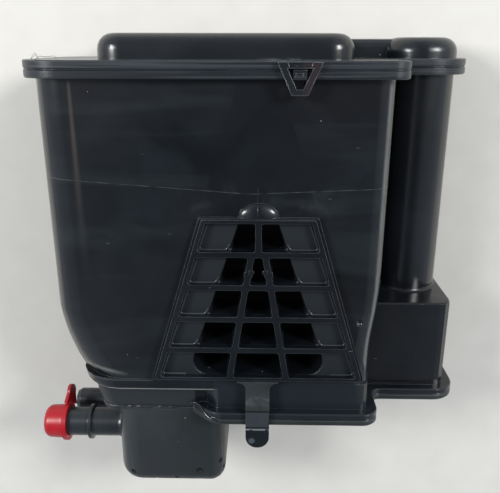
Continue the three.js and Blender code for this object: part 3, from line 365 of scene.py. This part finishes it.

# a painted highlight gleams along the slanting crease at the skirt
over_crease = put(tree, "Math", {0: across, 1: 0.2, 2: up}, operation="MULTIPLY_ADD")
gleam = meet(
    tree, near(tree, over_crease, -158.8, 1.5, 0.2), past(tree, across, -64, -74),
    past(tree, across, -90, -80),
)
lay_over(shell_nylon, gleam, "6E726C", strength=0.7, rough=0.4)

# two tool lines bound the band above the skirt: the upper one is painted as a thin highlight line, and the
# lower one's rounded rim has a broken painted highlight
rim_y = -153.9
tool_line_y = -149.0
left = meet(tree, past(tree, across, -19.9, -20.1), in_front)
rim = meet(tree, near(tree, up, rim_y, 0.55, 0.2), left, patchy(tree, place, 14.3, 0.2, 0.5))
lay_over(shell_nylon, rim, "7C807C", strength=0.8, rough=0.4)
tool_line = meet(tree, near(tree, up, tool_line_y, 0.26, 0.1), left, past(tree, across, -51, -54))
lay_over(shell_nylon, tool_line, "565B5E", strength=0.5, rough=0.4)

# the skirt below the band is greyer and duller, and the front of the chamber's foot is a little paler
skirt = meet(tree, past(tree, up, -154, -158), past(tree, across, -31.9, -32.1))
lay_over(shell_nylon, skirt, "2E3236", strength=0.6, rough=0.42)
foot = meet(
    tree, past(tree, up, -146.4, -147.2), past(tree, across, -22.1, -21.9), past(tree, forward, 59.9, 60.1)
)
lay_over(shell_nylon, foot, "1E2429", strength=0.7, rough=0.25)
housing = moulding("housing", "housing_shell", "canister", shell_nylon)

# ---- Parting line on the housing ----
# Where the tool's halves meet, the moulding has a fine raised line of the same nylon.
# It runs down over the hump above the bracket.

hump_line_x = -0.4
hump_line_top = -50.5


def front_of(piece, x, y):
    """The place on the front of a piece at (x, y)."""
    return piece.ray_cast(at(x, y, 120), Vector((0, 0, -1)))[1]


def bead(name, paths, body, material, radius, closed=False, thick=lambda place: 1.0, rounds=2):
    """Round beads along paths, of a thickness that may change along them."""
    curve = bpy.data.curves.new(name, "CURVE")
    curve.dimensions = "3D"
    curve.bevel_depth = radius * MM
    curve.bevel_resolution = rounds
    curve.use_fill_caps = True
    for path in paths:
        line = curve.splines.new("POLY")
        line.points.add(len(path) - 1)
        line.use_cyclic_u = closed
        for point, place in zip(line.points, path):
            point.co = (*place, 1)
            point.radius = thick(place)
    piece = bpy.data.objects.new(name, curve)
    bpy.context.scene.collection.objects.link(piece)
    take_up(piece)
    bpy.ops.object.convert(target="MESH")
    piece = bpy.context.object
    if rounds:
        bpy.ops.object.shade_smooth_by_angle(angle=math.radians(60))
    return dress(piece, body, material)


over_hump = [front_of(housing, hump_line_x, hump_line_top - turn * 0.45) for turn in range(29)]
bead("parting_line", [over_hump], "canister", shell_nylon, radius=0.1)

# ---- Fillets in the bracket's cells ----
# The tool's corners are rounded, so each side cell's floor meets its walls in a small fillet.
# Their nylon is painted pale as a highlight. In the upper rows they curl up at the inner lower corner.

first_top = -66.2
row_pitch = 16.15
cell_height = 13.6
inner_slant = 0.327
# the fillets' nylon is painted pale to stand in for the highlight on them
fillet_nylon = moulded_nylon(
    "pale_highlight_fillet_nylon", "2A3034", "3C4347", "303335", rough=0.2, haze=0.1
)
fillets = []
for row in range(5):
    top = first_top - row_pitch * row
    bottom = top - cell_height
    for side in (-1, 1):
        outer_top, outer_low = (22.7 + outer_slant * (-64 - y) for y in (top, bottom))
        inner_top, inner_low = (9.8 + inner_slant * (first_top - y) for y in (top, bottom))
        corners = [
            (inner_low, bottom), (outer_low - 1, bottom), (outer_low, bottom + 1),
            (outer_top, top - 1), (outer_top - 1, top), (inner_top, top),
        ]
        if row < 4:
            corners[:1] = [
                (inner_low - 0.8, bottom + 2.6), (inner_low - 0.2, bottom + 1.2),
                (inner_low + 0.5, bottom + 0.35), (inner_low + 1.6, bottom),
            ]
        fillets.append([at(side * x, y, cell_floor + 0.05) for x, y in corners])
bead("cell_fillets", fillets, "canister", fillet_nylon, radius=0.5)

# ---- Keyhole bosses ----
# Two round bosses stand on the ribs beside the keyhole, moulded in one with them.
# Each has a small pit where the tool's pin ended.

boss_y = -89.6
boss_z = 84.6
boss_radius = 1.4
boss_height = 1.5
for number, boss_x in enumerate((-3.3, 3.2)):
    bpy.ops.object.select_all(action="DESELECT")
    bpy.ops.mesh.primitive_cylinder_add(
        vertices=40, radius=boss_radius * MM, depth=boss_height * MM,
        location=at(boss_x, boss_y, boss_z),
    )
    boss = bpy.context.object
    boss.name = f"keyhole_boss_{number + 1}"
    bpy.ops.object.transform_apply(location=True, rotation=False, scale=False)
    bpy.ops.object.mode_set(mode="EDIT")
    bpy.ops.mesh.select_all(action="SELECT")
    bpy.ops.mesh.bevel(offset=0.25 * MM, segments=3)
    bpy.ops.object.mode_set(mode="OBJECT")
    end = max(boss.data.polygons, key=lambda face: face.center.z)
    for polygon in boss.data.polygons:
        polygon.select = polygon.index == end.index
    bpy.ops.object.mode_set(mode="EDIT")
    bpy.ops.mesh.inset(thickness=0.45 * MM)
    bpy.ops.transform.translate(value=(0, 0, -0.25 * MM))
    bpy.ops.object.mode_set(mode="OBJECT")
    bpy.ops.object.shade_smooth_by_angle(angle=math.radians(40))
    dress(boss, "canister", shell_nylon)

# ---- Fillet at the side tube's foot ----
# The tube stands on its box in a concave fillet, moulded in one with both.
# Its profile runs a little into the tube and the box and is spun round the tube's middle.

tube_x = 81.2
tube_z = 22
tube_radius = 17.0
box_top = -117.0
fillet_radius = 1.4
sunk = 0.4
profile = []
for step in range(9):
    angle = step / 8 * math.pi / 2
    profile.append((
        tube_radius + fillet_radius * (1 - math.sin(angle)),
        box_top + fillet_radius * (1 - math.cos(angle)),
    ))
profile += [
    (tube_radius - sunk, box_top + fillet_radius), (tube_radius - sunk, box_top - sunk),
    (tube_radius + fillet_radius, box_top - sunk),
]
ring = [at(tube_x + x, y, tube_z) for x, y in profile]
shape = bpy.data.meshes.new("tube_foot_fillet")
shape.from_pydata(ring, [(i, (i + 1) % len(ring)) for i in range(len(ring))], [])
fillet = bpy.data.objects.new("tube_foot_fillet", shape)
bpy.context.scene.collection.objects.link(fillet)
take_up(fillet)
bpy.ops.object.mode_set(mode="EDIT")
bpy.ops.mesh.select_all(action="SELECT")
bpy.ops.mesh.spin(
    steps=72, angle=2 * math.pi, center=at(tube_x, box_top, tube_z), axis=(0, 1, 0)
)
bpy.ops.mesh.select_all(action="SELECT")
bpy.ops.mesh.remove_doubles(threshold=0.001 * MM)
bpy.ops.mesh.normals_make_consistent(inside=False)
bpy.ops.object.mode_set(mode="OBJECT")
bpy.ops.object.shade_smooth_by_angle(angle=math.radians(40))
dress(fillet, "canister", shell_nylon)

# ---- Latch tongue ----
# A springy tongue below the bracket that clicks into the receiver, moulded with the housing.
# Its end is polished by use and has a small round ejector mark.


def hollow_out(piece, places, radii):
    """Cuts shallow round hollows with balls round the places."""
    bpy.ops.object.select_all(action="DESELECT")
    balls = []
    for where, radius in zip(places, radii):
        bpy.ops.mesh.primitive_ico_sphere_add(subdivisions=3, radius=radius * MM, location=where)
        balls.append(bpy.context.object)
    for ball in balls:
        ball.select_set(True)
    bpy.ops.object.join()
    cutter = bpy.context.object
    take_up(piece)
    cut = piece.modifiers.new("hollows", "BOOLEAN")
    cut.operation = "DIFFERENCE"
    cut.object = cutter
    bpy.ops.object.modifier_apply(modifier=cut.name)
    bpy.data.objects.remove(cutter)


sheen_y = -157.2
slope_end = -162.2
step_y = -171.8
stretch_z = 87.0
end_z = 87.5
ejector_x = -2.8
ejector_y = -178.6

# use has rubbed it paler than the shell, with more nicks, and only its end shines like a mirror
tongue_nylon = moulded_nylon(
    "polished_tongue_nylon", "26292A", "33373A", "2C2C2C", rough=0.24, haze=0.14, worn=2.0
)
tree, place, _, up, _ = axes(tongue_nylon)

# the flat stretch is paler, the end darker and glossy, with painted shade lines at the slope's end and
# just above the step
stretch = meet(
    tree, past(tree, up, slope_end + 0.2, slope_end - 0.4), past(tree, up, step_y, step_y + 0.6)
)
lay_over(tongue_nylon, stretch, "343A3F", strength=0.7, rough=0.22)
lay_over(tongue_nylon, past(tree, up, step_y, step_y - 0.4), "12181D", strength=0.85, rough=0.12)
lay_over(tongue_nylon, near(tree, up, slope_end, 0.6, 0.3), "0C0F12", strength=0.85, rough=0.3)
lay_over(tongue_nylon, near(tree, up, step_y + 0.5, 0.45, 0.25), "080A0C", strength=0.85, rough=0.3)

# a painted sheen lies in patches half way down the slope, a painted highlight along the end's upper edge,
# and the mark is bluish
sheen = meet(
    tree, near(tree, up, sheen_y, 2.8, 0.6),
    patchy(tree, place, 4.76, 0.45, 0.65, detail=4.0, distortion=1.0),
)
lay_over(tongue_nylon, sheen, "565C62", strength=0.6, rough=0.4)
bright = meet(
    tree, past(tree, up, step_y + 0.05, step_y - 0.15), past(tree, up, step_y - 0.9, step_y - 0.5),
    patchy(tree, place, 3.33, 0.35, 0.5),
)
lay_over(tongue_nylon, bright, "858C92", strength=0.75, rough=0.3)
inputs = {0: place, 1: at(ejector_x, ejector_y, end_z)}
gap = put(tree, "VectorMath", inputs, operation="DISTANCE").outputs["Value"]
lay_over(tongue_nylon, past(tree, gap, 1.9, 1.2), "4A545E", strength=0.7, rough=0.2)
tongue = moulding("latch_tongue", "latch_tongue_shell", "latch", tongue_nylon)

# the end stands 0.5 mm above the flat stretch, and its step faces up to the bracket
cad_stretch_z = 88.0
cad_end_z = 87.1
for vertex in tongue.data.vertices:
    if vertex.co.z > (cad_stretch_z - 0.1) * MM:
        vertex.co.z = stretch_z * MM
    elif vertex.co.z > (cad_end_z - 0.1) * MM:
        vertex.co.z = end_z * MM
ball_radius = 3.2
ejector_depth = 0.4
ball = at(ejector_x, ejector_y, end_z + ball_radius - ejector_depth)
hollow_out(tongue, [ball], [ball_radius])
even_out(tongue)
down_tongue = [front_of(tongue, -0.2, -147.6 - turn * 0.5) for turn in range(43)]
bead("tongue_parting_line", [down_tongue], "latch", tongue_nylon, radius=0.12)

# ---- Tongue root ----
# The tongue grows out of the bracket's lower border, so a web of the same nylon closes its root.
# It is moulded with the tongue and moves with it.

web_size = (19.6 * MM, 0.7 * MM, 1.3 * MM)
bpy.ops.object.select_all(action="DESELECT")
bpy.ops.mesh.primitive_cube_add(size=1, location=at(0, -146.8, 83.3))
web = bpy.context.object
web.name = "tongue_root_web"
web.scale = web_size
bpy.ops.object.transform_apply(location=True, rotation=False, scale=True)
bpy.ops.object.mode_set(mode="EDIT")
bpy.ops.mesh.select_all(action="SELECT")
bpy.ops.mesh.bevel(offset=0.12 * MM, segments=2)
bpy.ops.object.mode_set(mode="OBJECT")
dress(web, "latch", shell_nylon)

# ---- Pieces inside ----
# Grids and plates of natural nylon, needle felt, carbon pellets, a carbon block with channels,
# rubber seals, filter foam and a drawn nylon pipe, pushed in from both ends before the covers are
# welded on. They keep their CAD meshes.


def inner_material(name, first, second, grain, rough, depth, cellular=False, metallic=0.0):
    """A plain two-tone material whose grain has a size and a depth in millimetres."""
    material, tree, place = new_material(name)
    inputs = {"Vector": place, "Scale": 1 / (grain * MM)}
    if cellular:
        height = put(tree, "TexVoronoi", inputs).outputs["Distance"]
    else:
        inputs.update({"Detail": 5.0, "Distortion": 0.4})
        height = put(tree, "TexNoise", inputs)
    bumped = put(tree, "Bump", {"Height": height, "Distance": depth * MM, "Strength": 0.8})
    inputs = {"Factor": height, 6: linear(first), 7: linear(second)}
    tint = put(tree, "Mix", inputs, data_type="RGBA").outputs[2]
    surface = put(tree, "BsdfPrincipled", {
        "Base Color": tint, "Roughness": rough, "Metallic": metallic, "Normal": bumped,
    })
    put(tree, "OutputMaterial", {"Surface": surface})
    return material


# moulded and drawn nylon are smooth, felt and foam dull and open, carbon grainy and rubber matt
natural_nylon = inner_material(
    "natural_nylon", "DAD5C6", "EAE6DA", grain=1.11, rough=0.45, depth=0.02
)
needle_felt = inner_material(
    "needle_felt", "B9B5A9", "DCD8CE", grain=0.71, rough=0.95, depth=0.3
)
carbon_pellets = inner_material(
    "carbon_pellets", "2C2E2F", "141516", grain=2.08, rough=0.7, depth=0.8,
    cellular=True,
)
carbon_block = inner_material(
    "extruded_carbon_block", "1B1C1D", "2A2B2C", grain=1.43, rough=0.85, depth=0.05
)
seal_rubber = inner_material(
    "seal_rubber", "161617", "222223", grain=1.25, rough=0.6, depth=0.03
)
filter_foam = inner_material(
    "open_cell_foam", "4A4C4D", "232425", grain=1.11, rough=0.95, depth=0.5,
    cellular=True,
)
drawn_nylon = inner_material(
    "drawn_nylon_pipe", "1C1F21", "292C2E", grain=3.33, rough=0.3, depth=0.02
)
inside = {
    natural_nylon: (
        "main_support_grid", "main_pressure_plate", "side_pressure_plate", "filter_retainer",
    ),
    needle_felt: ("main_lower_felt", "main_upper_felt", "side_upper_felt", "side_lower_felt"),
    carbon_pellets: ("main_carbon_bed", "side_carbon_bed"),
    carbon_block: ("scrubber_honeycomb",),
    seal_rubber: ("scrubber_upper_seal", "scrubber_lower_seal", "vapour_pipe_seal"),
    filter_foam: ("air_filter_foam",),
    drawn_nylon: ("vapour_pipe",),
}
for material, nodes in inside.items():
    for node in nodes:
        frame["nodes"][node].data.materials.clear()
        frame["nodes"][node].data.materials.append(material)

# ---- Springs ----
# Three coil springs of phosphated steel wire press the plates down on the felts.
# Each stands on its plate, with its fixed end in the end cover.

spring_steel = inner_material(
    "phosphated_spring_steel", "6F7072", "98999A", grain=0.83, rough=0.36, depth=0.01,
    metallic=1.0,
)
for node, joint in (
    ("main_spring_left", "main_plate_slide"), ("main_spring_right", "main_plate_slide"),
    ("side_spring", "side_plate_slide"),
):
    spring = moulding(node, node + "_wire", "canister", spring_steel, 50)
    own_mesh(spring)

# ---- End cover ----
# The moulded cover is hot-plate welded on the housing's flange. Its domes hold the springs.
# It has the housing's satin gloss and soft round shoulders.

# the same nylon as the shell, moulded a little paler, with the same cloudy haze
cover_nylon = moulded_nylon(
    "gloss_cover_nylon", "12171B", "1C2227", "191A1C", rough=0.22, haze=0.1
)
tree, place, across, up, forward = axes(cover_nylon)
flange = meet(tree, past(tree, up, 3.9, 3.7), past(tree, forward, 89.1, 88.9))
striate(cover_nylon, tree, place, flange)

# dust lies along the main dome's foot, and the catch loop's right arm has a reddish cast
dust = meet(
    tree, past(tree, up, 3.4, 3.7), past(tree, up, 4.8, 4.0), near(tree, across, 11, 14, 5),
    patchy(tree, place, 3.85, 0.42, 0.65, detail=5.0), past(tree, forward, 66, 72),
)
lay_over(cover_nylon, dust, "63676A", strength=0.4, rough=0.5)
right_arm = meet(tree, past(tree, forward, 89.4, 89.6), past(tree, across, 17, 19))
lay_over(cover_nylon, right_arm, "33272A", strength=0.6, rough=0.25)
cover = moulding("end_cover", "end_cover_shell", "canister", cover_nylon)

# ---- Rims of the catch loop ----
# The loop's arms have a raised rim round their edges, moulded with them.
# It stands 0.2 mm above the sunk middle of the arms.

arm_face = 90.5
rim_height = 0.2
rim_radius = 0.26
for vertex in cover.data.vertices:
    if vertex.co.z > (arm_face - 0.1) * MM:
        vertex.co.z -= rim_height * MM
outer_rim = [(20.0, -9.75), (13.2, -9.75), (7.4, 3.3), (25.8, 3.3)]
inner_rim = [(18.1, -7.6), (15.1, -7.6), (11.2, 1.0), (22.0, 1.0)]
rims = [[at(x, y, arm_face - rim_radius) for x, y in rim] for rim in (outer_rim, inner_rim)]
# the rims take the fillets' nylon, painted pale as a highlight
bead(
    "catch_loop_rims", rims, "canister", fillet_nylon, radius=rim_radius, closed=True
)

# ---- Upper weld flash ----
# The molten nylon that the hot-plate weld squeezes out sets as a fine uneven bead in the seam.
# At the left corner a few thin threads have pulled out of it.


def seam(piece, height, step_length=1.3):
    """The outer outline of a piece at a height, in even steps."""
    take_up(piece)
    bpy.ops.object.duplicate()
    bpy.ops.object.mode_set(mode="EDIT")
    bpy.ops.mesh.select_all(action="SELECT")
    bpy.ops.mesh.bisect(
        plane_co=(0, height, 0), plane_no=(0, 1, 0), clear_inner=True, clear_outer=True
    )
    bpy.ops.object.mode_set(mode="OBJECT")
    bpy.ops.object.convert(target="CURVE")
    outline = bpy.context.object
    loops = [[Vector(p.co[:3]) for p in line.points] for line in outline.data.splines]
    bpy.data.objects.remove(outline)
    widest = max(loops, key=lambda loop: max(p.x for p in loop) - min(p.x for p in loop))
    path = []
    for start, end in zip(widest, widest[1:] + widest[:1]):
        pieces = max(1, round((end - start).length / (step_length * MM)))
        path += [start.lerp(end, step / pieces) for step in range(pieces)]
    for point in path:
        point.z = max(point.z, 0.7 * MM)
    return path


# nylon that has melted and set freely has a glossy skin with dull patches
flash_nylon = moulded_nylon(
    "molten_flash_nylon", "181C1F", "2A2F32", "232325", rough=0.15, haze=0.2, edge=0.1, worn=0.5
)
random.seed(7)
lift = Vector((0, 0.19 * MM, 0))
upper_seam = [point + lift for point in seam(housing, HOUSING_TOP - 0.04 * MM)]
bead(
    "upper_weld_flash", [upper_seam], "canister", flash_nylon, radius=0.36,
    closed=True, thick=lambda place: random.uniform(0.8, 1.15),
)

# fine tool lines stand out 0.07 mm on the front of the two upper flanges and sink in at their sides
middle = at(-18, 0, 45)
outline = seam(housing, HOUSING_TOP - 1.8 * MM, 8)
for point in outline:
    point.x -= math.copysign(0.14 * MM, point.x - middle.x)
    point.z -= math.copysign(0.06 * MM, point.z - middle.z)
lines = [
    [(point.x, HOUSING_TOP + height * MM, point.z) for point in outline] for height in (1.8, -1.2, -2.0)
]
bead(
    "flange_tool_lines", lines, "canister", cover_nylon, radius=0.13, closed=True,
    rounds=1,
)
threads = [
    [(-101.5, 3.8, 66), (-101.0, 5.3, 66), (-99.8, 6.5, 66), (-98.6, 6.0, 67), (-98.0, 4.0, 67)],
    [(-100.6, 3.8, 70), (-99.0, 4.6, 71), (-97.6, 5.9, 71), (-96.8, 4.6, 72)],
    [(-95.0, 3.8, 80), (-92.5, 5.3, 81), (-90.0, 5.0, 81), (-86.5, 5.4, 81), (-85.4, 4.6, 81)],
]
bead(
    "weld_threads", [[at(*point) for point in path] for path in threads], "canister",
    cover_nylon, radius=0.1, thick=lambda place: random.uniform(0.5, 1.2), rounds=1,
)

# ---- Lower cover ----
# The filter cup and both hose spigots are one moulding with the lower flange, welded on below.
# Its cup is duller and greyer than the rest, and chipped along its lower edge.

# a coarser tool face and more handling leave the cup dull and nicked
lower_nylon = moulded_nylon(
    "dull_cup_nylon", "222729", "2D3235", "272829", rough=0.36, haze=0.12, worn=2.0
)
lower = moulding("lower_cover", "lower_cover_shell", "canister", lower_nylon)
chips = [
    (-67.0, -209.8, 73.6), (-54.8, -216.1, 70.9), (-43.4, -213.4, 73.4), (-30.7, -207.9, 74.7),
    (-19.2, -202.6, 72.1), (-17.4, -208.1, 69.6),
]
chip_radii = [1.8, 1.3, 1.35, 2.15, 1.5, 1.4]
hollow_out(lower, [at(*chip) for chip in chips], chip_radii)
even_out(lower)

# the chips' hollows are painted near black as shade, and the spigots are darker and glossier than the cup
spigots_from = -70.5
tree, place, across, _, _ = axes(lower_nylon)
for chip, radius in zip(chips, chip_radii):
    gap = put(tree, "VectorMath", {0: place, 1: at(*chip)}, operation="DISTANCE").outputs["Value"]
    lay_over(lower_nylon, past(tree, gap, radius * 1.06, radius), "030404", strength=1.0, rough=0.8)
spigots = past(tree, across, spigots_from, spigots_from - 1)
lay_over(lower_nylon, spigots, "21262B", strength=0.8, rough=0.26)

# ---- Lower weld flash ----
# The lower weld runs round the foot, the box and the skirt. It squeezed out more on the skirt,
# and at the flange's chamfered corner a thick tongue of it has set.

lower_joint = -167.76
skirt_right = -38
lower_seam = [point - lift for point in seam(housing, HOUSING_TOP + lower_joint * MM)]


def squeezed(place):
    """Flash is thin on the flange and thick and lumpy on the skirt."""
    on_skirt = place.x < BRACKET_X + skirt_right * MM
    return random.uniform(1.0, 2.7) if on_skirt else random.uniform(0.86, 1.12)


bead(
    "lower_weld_flash", [lower_seam], "canister", flash_nylon, radius=0.4,
    closed=True, thick=squeezed,
)
blob = [
    (-35.0, -165.6, 74.6), (-33.6, -164.6, 75.2), (-31.5, -164.2, 76.0), (-29.6, -164.5, 77.4),
    (-28.2, -165.2, 79.2), (-27.0, -166.4, 80.9), (-25.6, -167.6, 82.0), (-24.0, -168.4, 83.2),
    (-22.0, -168.9, 84.3), (-20.0, -169.2, 84.8),
]
bead(
    "corner_flash", [[at(*point) for point in blob]], "canister", flash_nylon,
    radius=0.75, thick=lambda place: random.uniform(0.7, 1.25),
)

# a row of small tacks stands along the front of the box
tack_pitch = 0.9
spots = [at(61.8 + tack_pitch * number, -163.9, 54.95) for number in range(25)]
tacks = [[spot, spot + Vector((0.3 * MM, 0, 0))] for spot in spots]
bead("weld_tack_row", tacks, "canister", flash_nylon, radius=0.24, rounds=1)

# ---- Dust cap ----
# A soft red vinyl cap is pushed over the front spigot and pulled off by its tab.
# Moulded vinyl has a semi-gloss skin with a slight bloom.

cap_vinyl, tree, place = new_material("red_cap_vinyl")
bloom = put(tree, "TexNoise", {"Vector": place, "Scale": 1 / (3.85 * MM), "Detail": 4.0})
eased = put(tree, "Bevel", {"Radius": 0.35 * MM}, samples=8)
inputs = {"Height": bloom, "Distance": 0.05 * MM, "Strength": 0.5, "Normal": eased}
skin = put(tree, "Bump", inputs)
inputs = {"Factor": bloom, 6: linear("9A0412"), 7: linear("AE1020")}
red = put(tree, "Mix", inputs, data_type="RGBA").outputs[2]
inputs = {"Base Color": red, "Roughness": 0.34, "IOR": 1.5, "Normal": skin}
put(tree, "OutputMaterial", {"Surface": put(tree, "BsdfPrincipled", inputs)})
moulding("dust_cap", "dust_cap_skin", "cap", cap_vinyl)

# ---- Floor, light and camera ----
# The canister lies on its back on a plain pale floor. The camera hangs over its end cover.
# A soft room that is brighter at both sides and two square lamps light it.

bpy.ops.object.select_all(action="DESELECT")
bpy.ops.mesh.primitive_plane_add(size=6, location=(0, 0, -0.2 * MM))
floor = bpy.context.object
floor.name = "floor"
pale_floor, tree, place = new_material("pale_floor")
clouds = put(tree, "TexNoise", {"Vector": place, "Scale": 1 / (16.7 * MM), "Detail": 6.0})
inputs = {"Factor": clouds, 6: linear("D4D1CA"), 7: linear("E0DDD6")}
tone = put(tree, "Mix", inputs, data_type="RGBA").outputs[2]
board = put(tree, "BsdfPrincipled", {"Base Color": tone, "Roughness": 0.9})
put(tree, "OutputMaterial", {"Surface": board})
floor.data.materials.append(pale_floor)

world = bpy.data.worlds.new("soft_room")
bpy.context.scene.world = world
world.use_nodes = True
tree = world.node_tree
tree.nodes.clear()
direction = put(tree, "TexCoord").outputs["Generated"]
x, y, z = put(tree, "SeparateXYZ", {"Vector": direction}).outputs
room, left, right, shade = (
    put(tree, "MapRange", {
        "Value": axis, "From Min": start, "From Max": end, "To Min": first, "To Max": last,
    })
    for axis, start, end, first, last in (
        (z, 0.0, 0.9, 0.55, 0.1), (x, -0.12, -0.36, 0.0, 0.35), (x, 0.1, 0.4, 0.0, 0.3),
        (y, -0.08, -0.4, 1.0, 0.65),
    )
)
sides = put(tree, "Math", {0: left, 1: right}, operation="ADD")
glow = put(tree, "Math", {0: room, 1: shade, 2: sides}, operation="MULTIPLY_ADD")
sky = put(tree, "Background", {"Color": linear("E4EEFA"), "Strength": glow})
put(tree, "OutputWorld", {"Surface": sky})
for name, where, power in (
    ("left_lamp", (-0.75, 0.35, 0.75), 8.3), ("right_lamp", (0.75, 0.45, 0.8), 9.3),
):
    bpy.ops.object.light_add(type="AREA", location=where)
    lamp = bpy.context.object
    lamp.name = name
    lamp.data.size = 0.3
    lamp.data.energy = power
    lamp.rotation_mode = "QUATERNION"
    lamp.rotation_quaternion = (Vector((0, 0, 0.05)) - Vector(where)).to_track_quat("-Z", "Y")

bpy.ops.object.camera_add(location=at(0.9, 9.9, 348))
camera = bpy.context.object
camera.name = "photo_camera"
camera.data.lens = 44.0
camera.data.sensor_width = 36.0
camera.data.clip_start = 0.01
camera.data.clip_end = 20
camera.rotation_euler = Euler([math.radians(turn) for turn in (-18.246, 1.068, 0.117)])
bpy.context.scene.camera = camera
bpy.context.scene.view_settings.view_transform = "Standard"
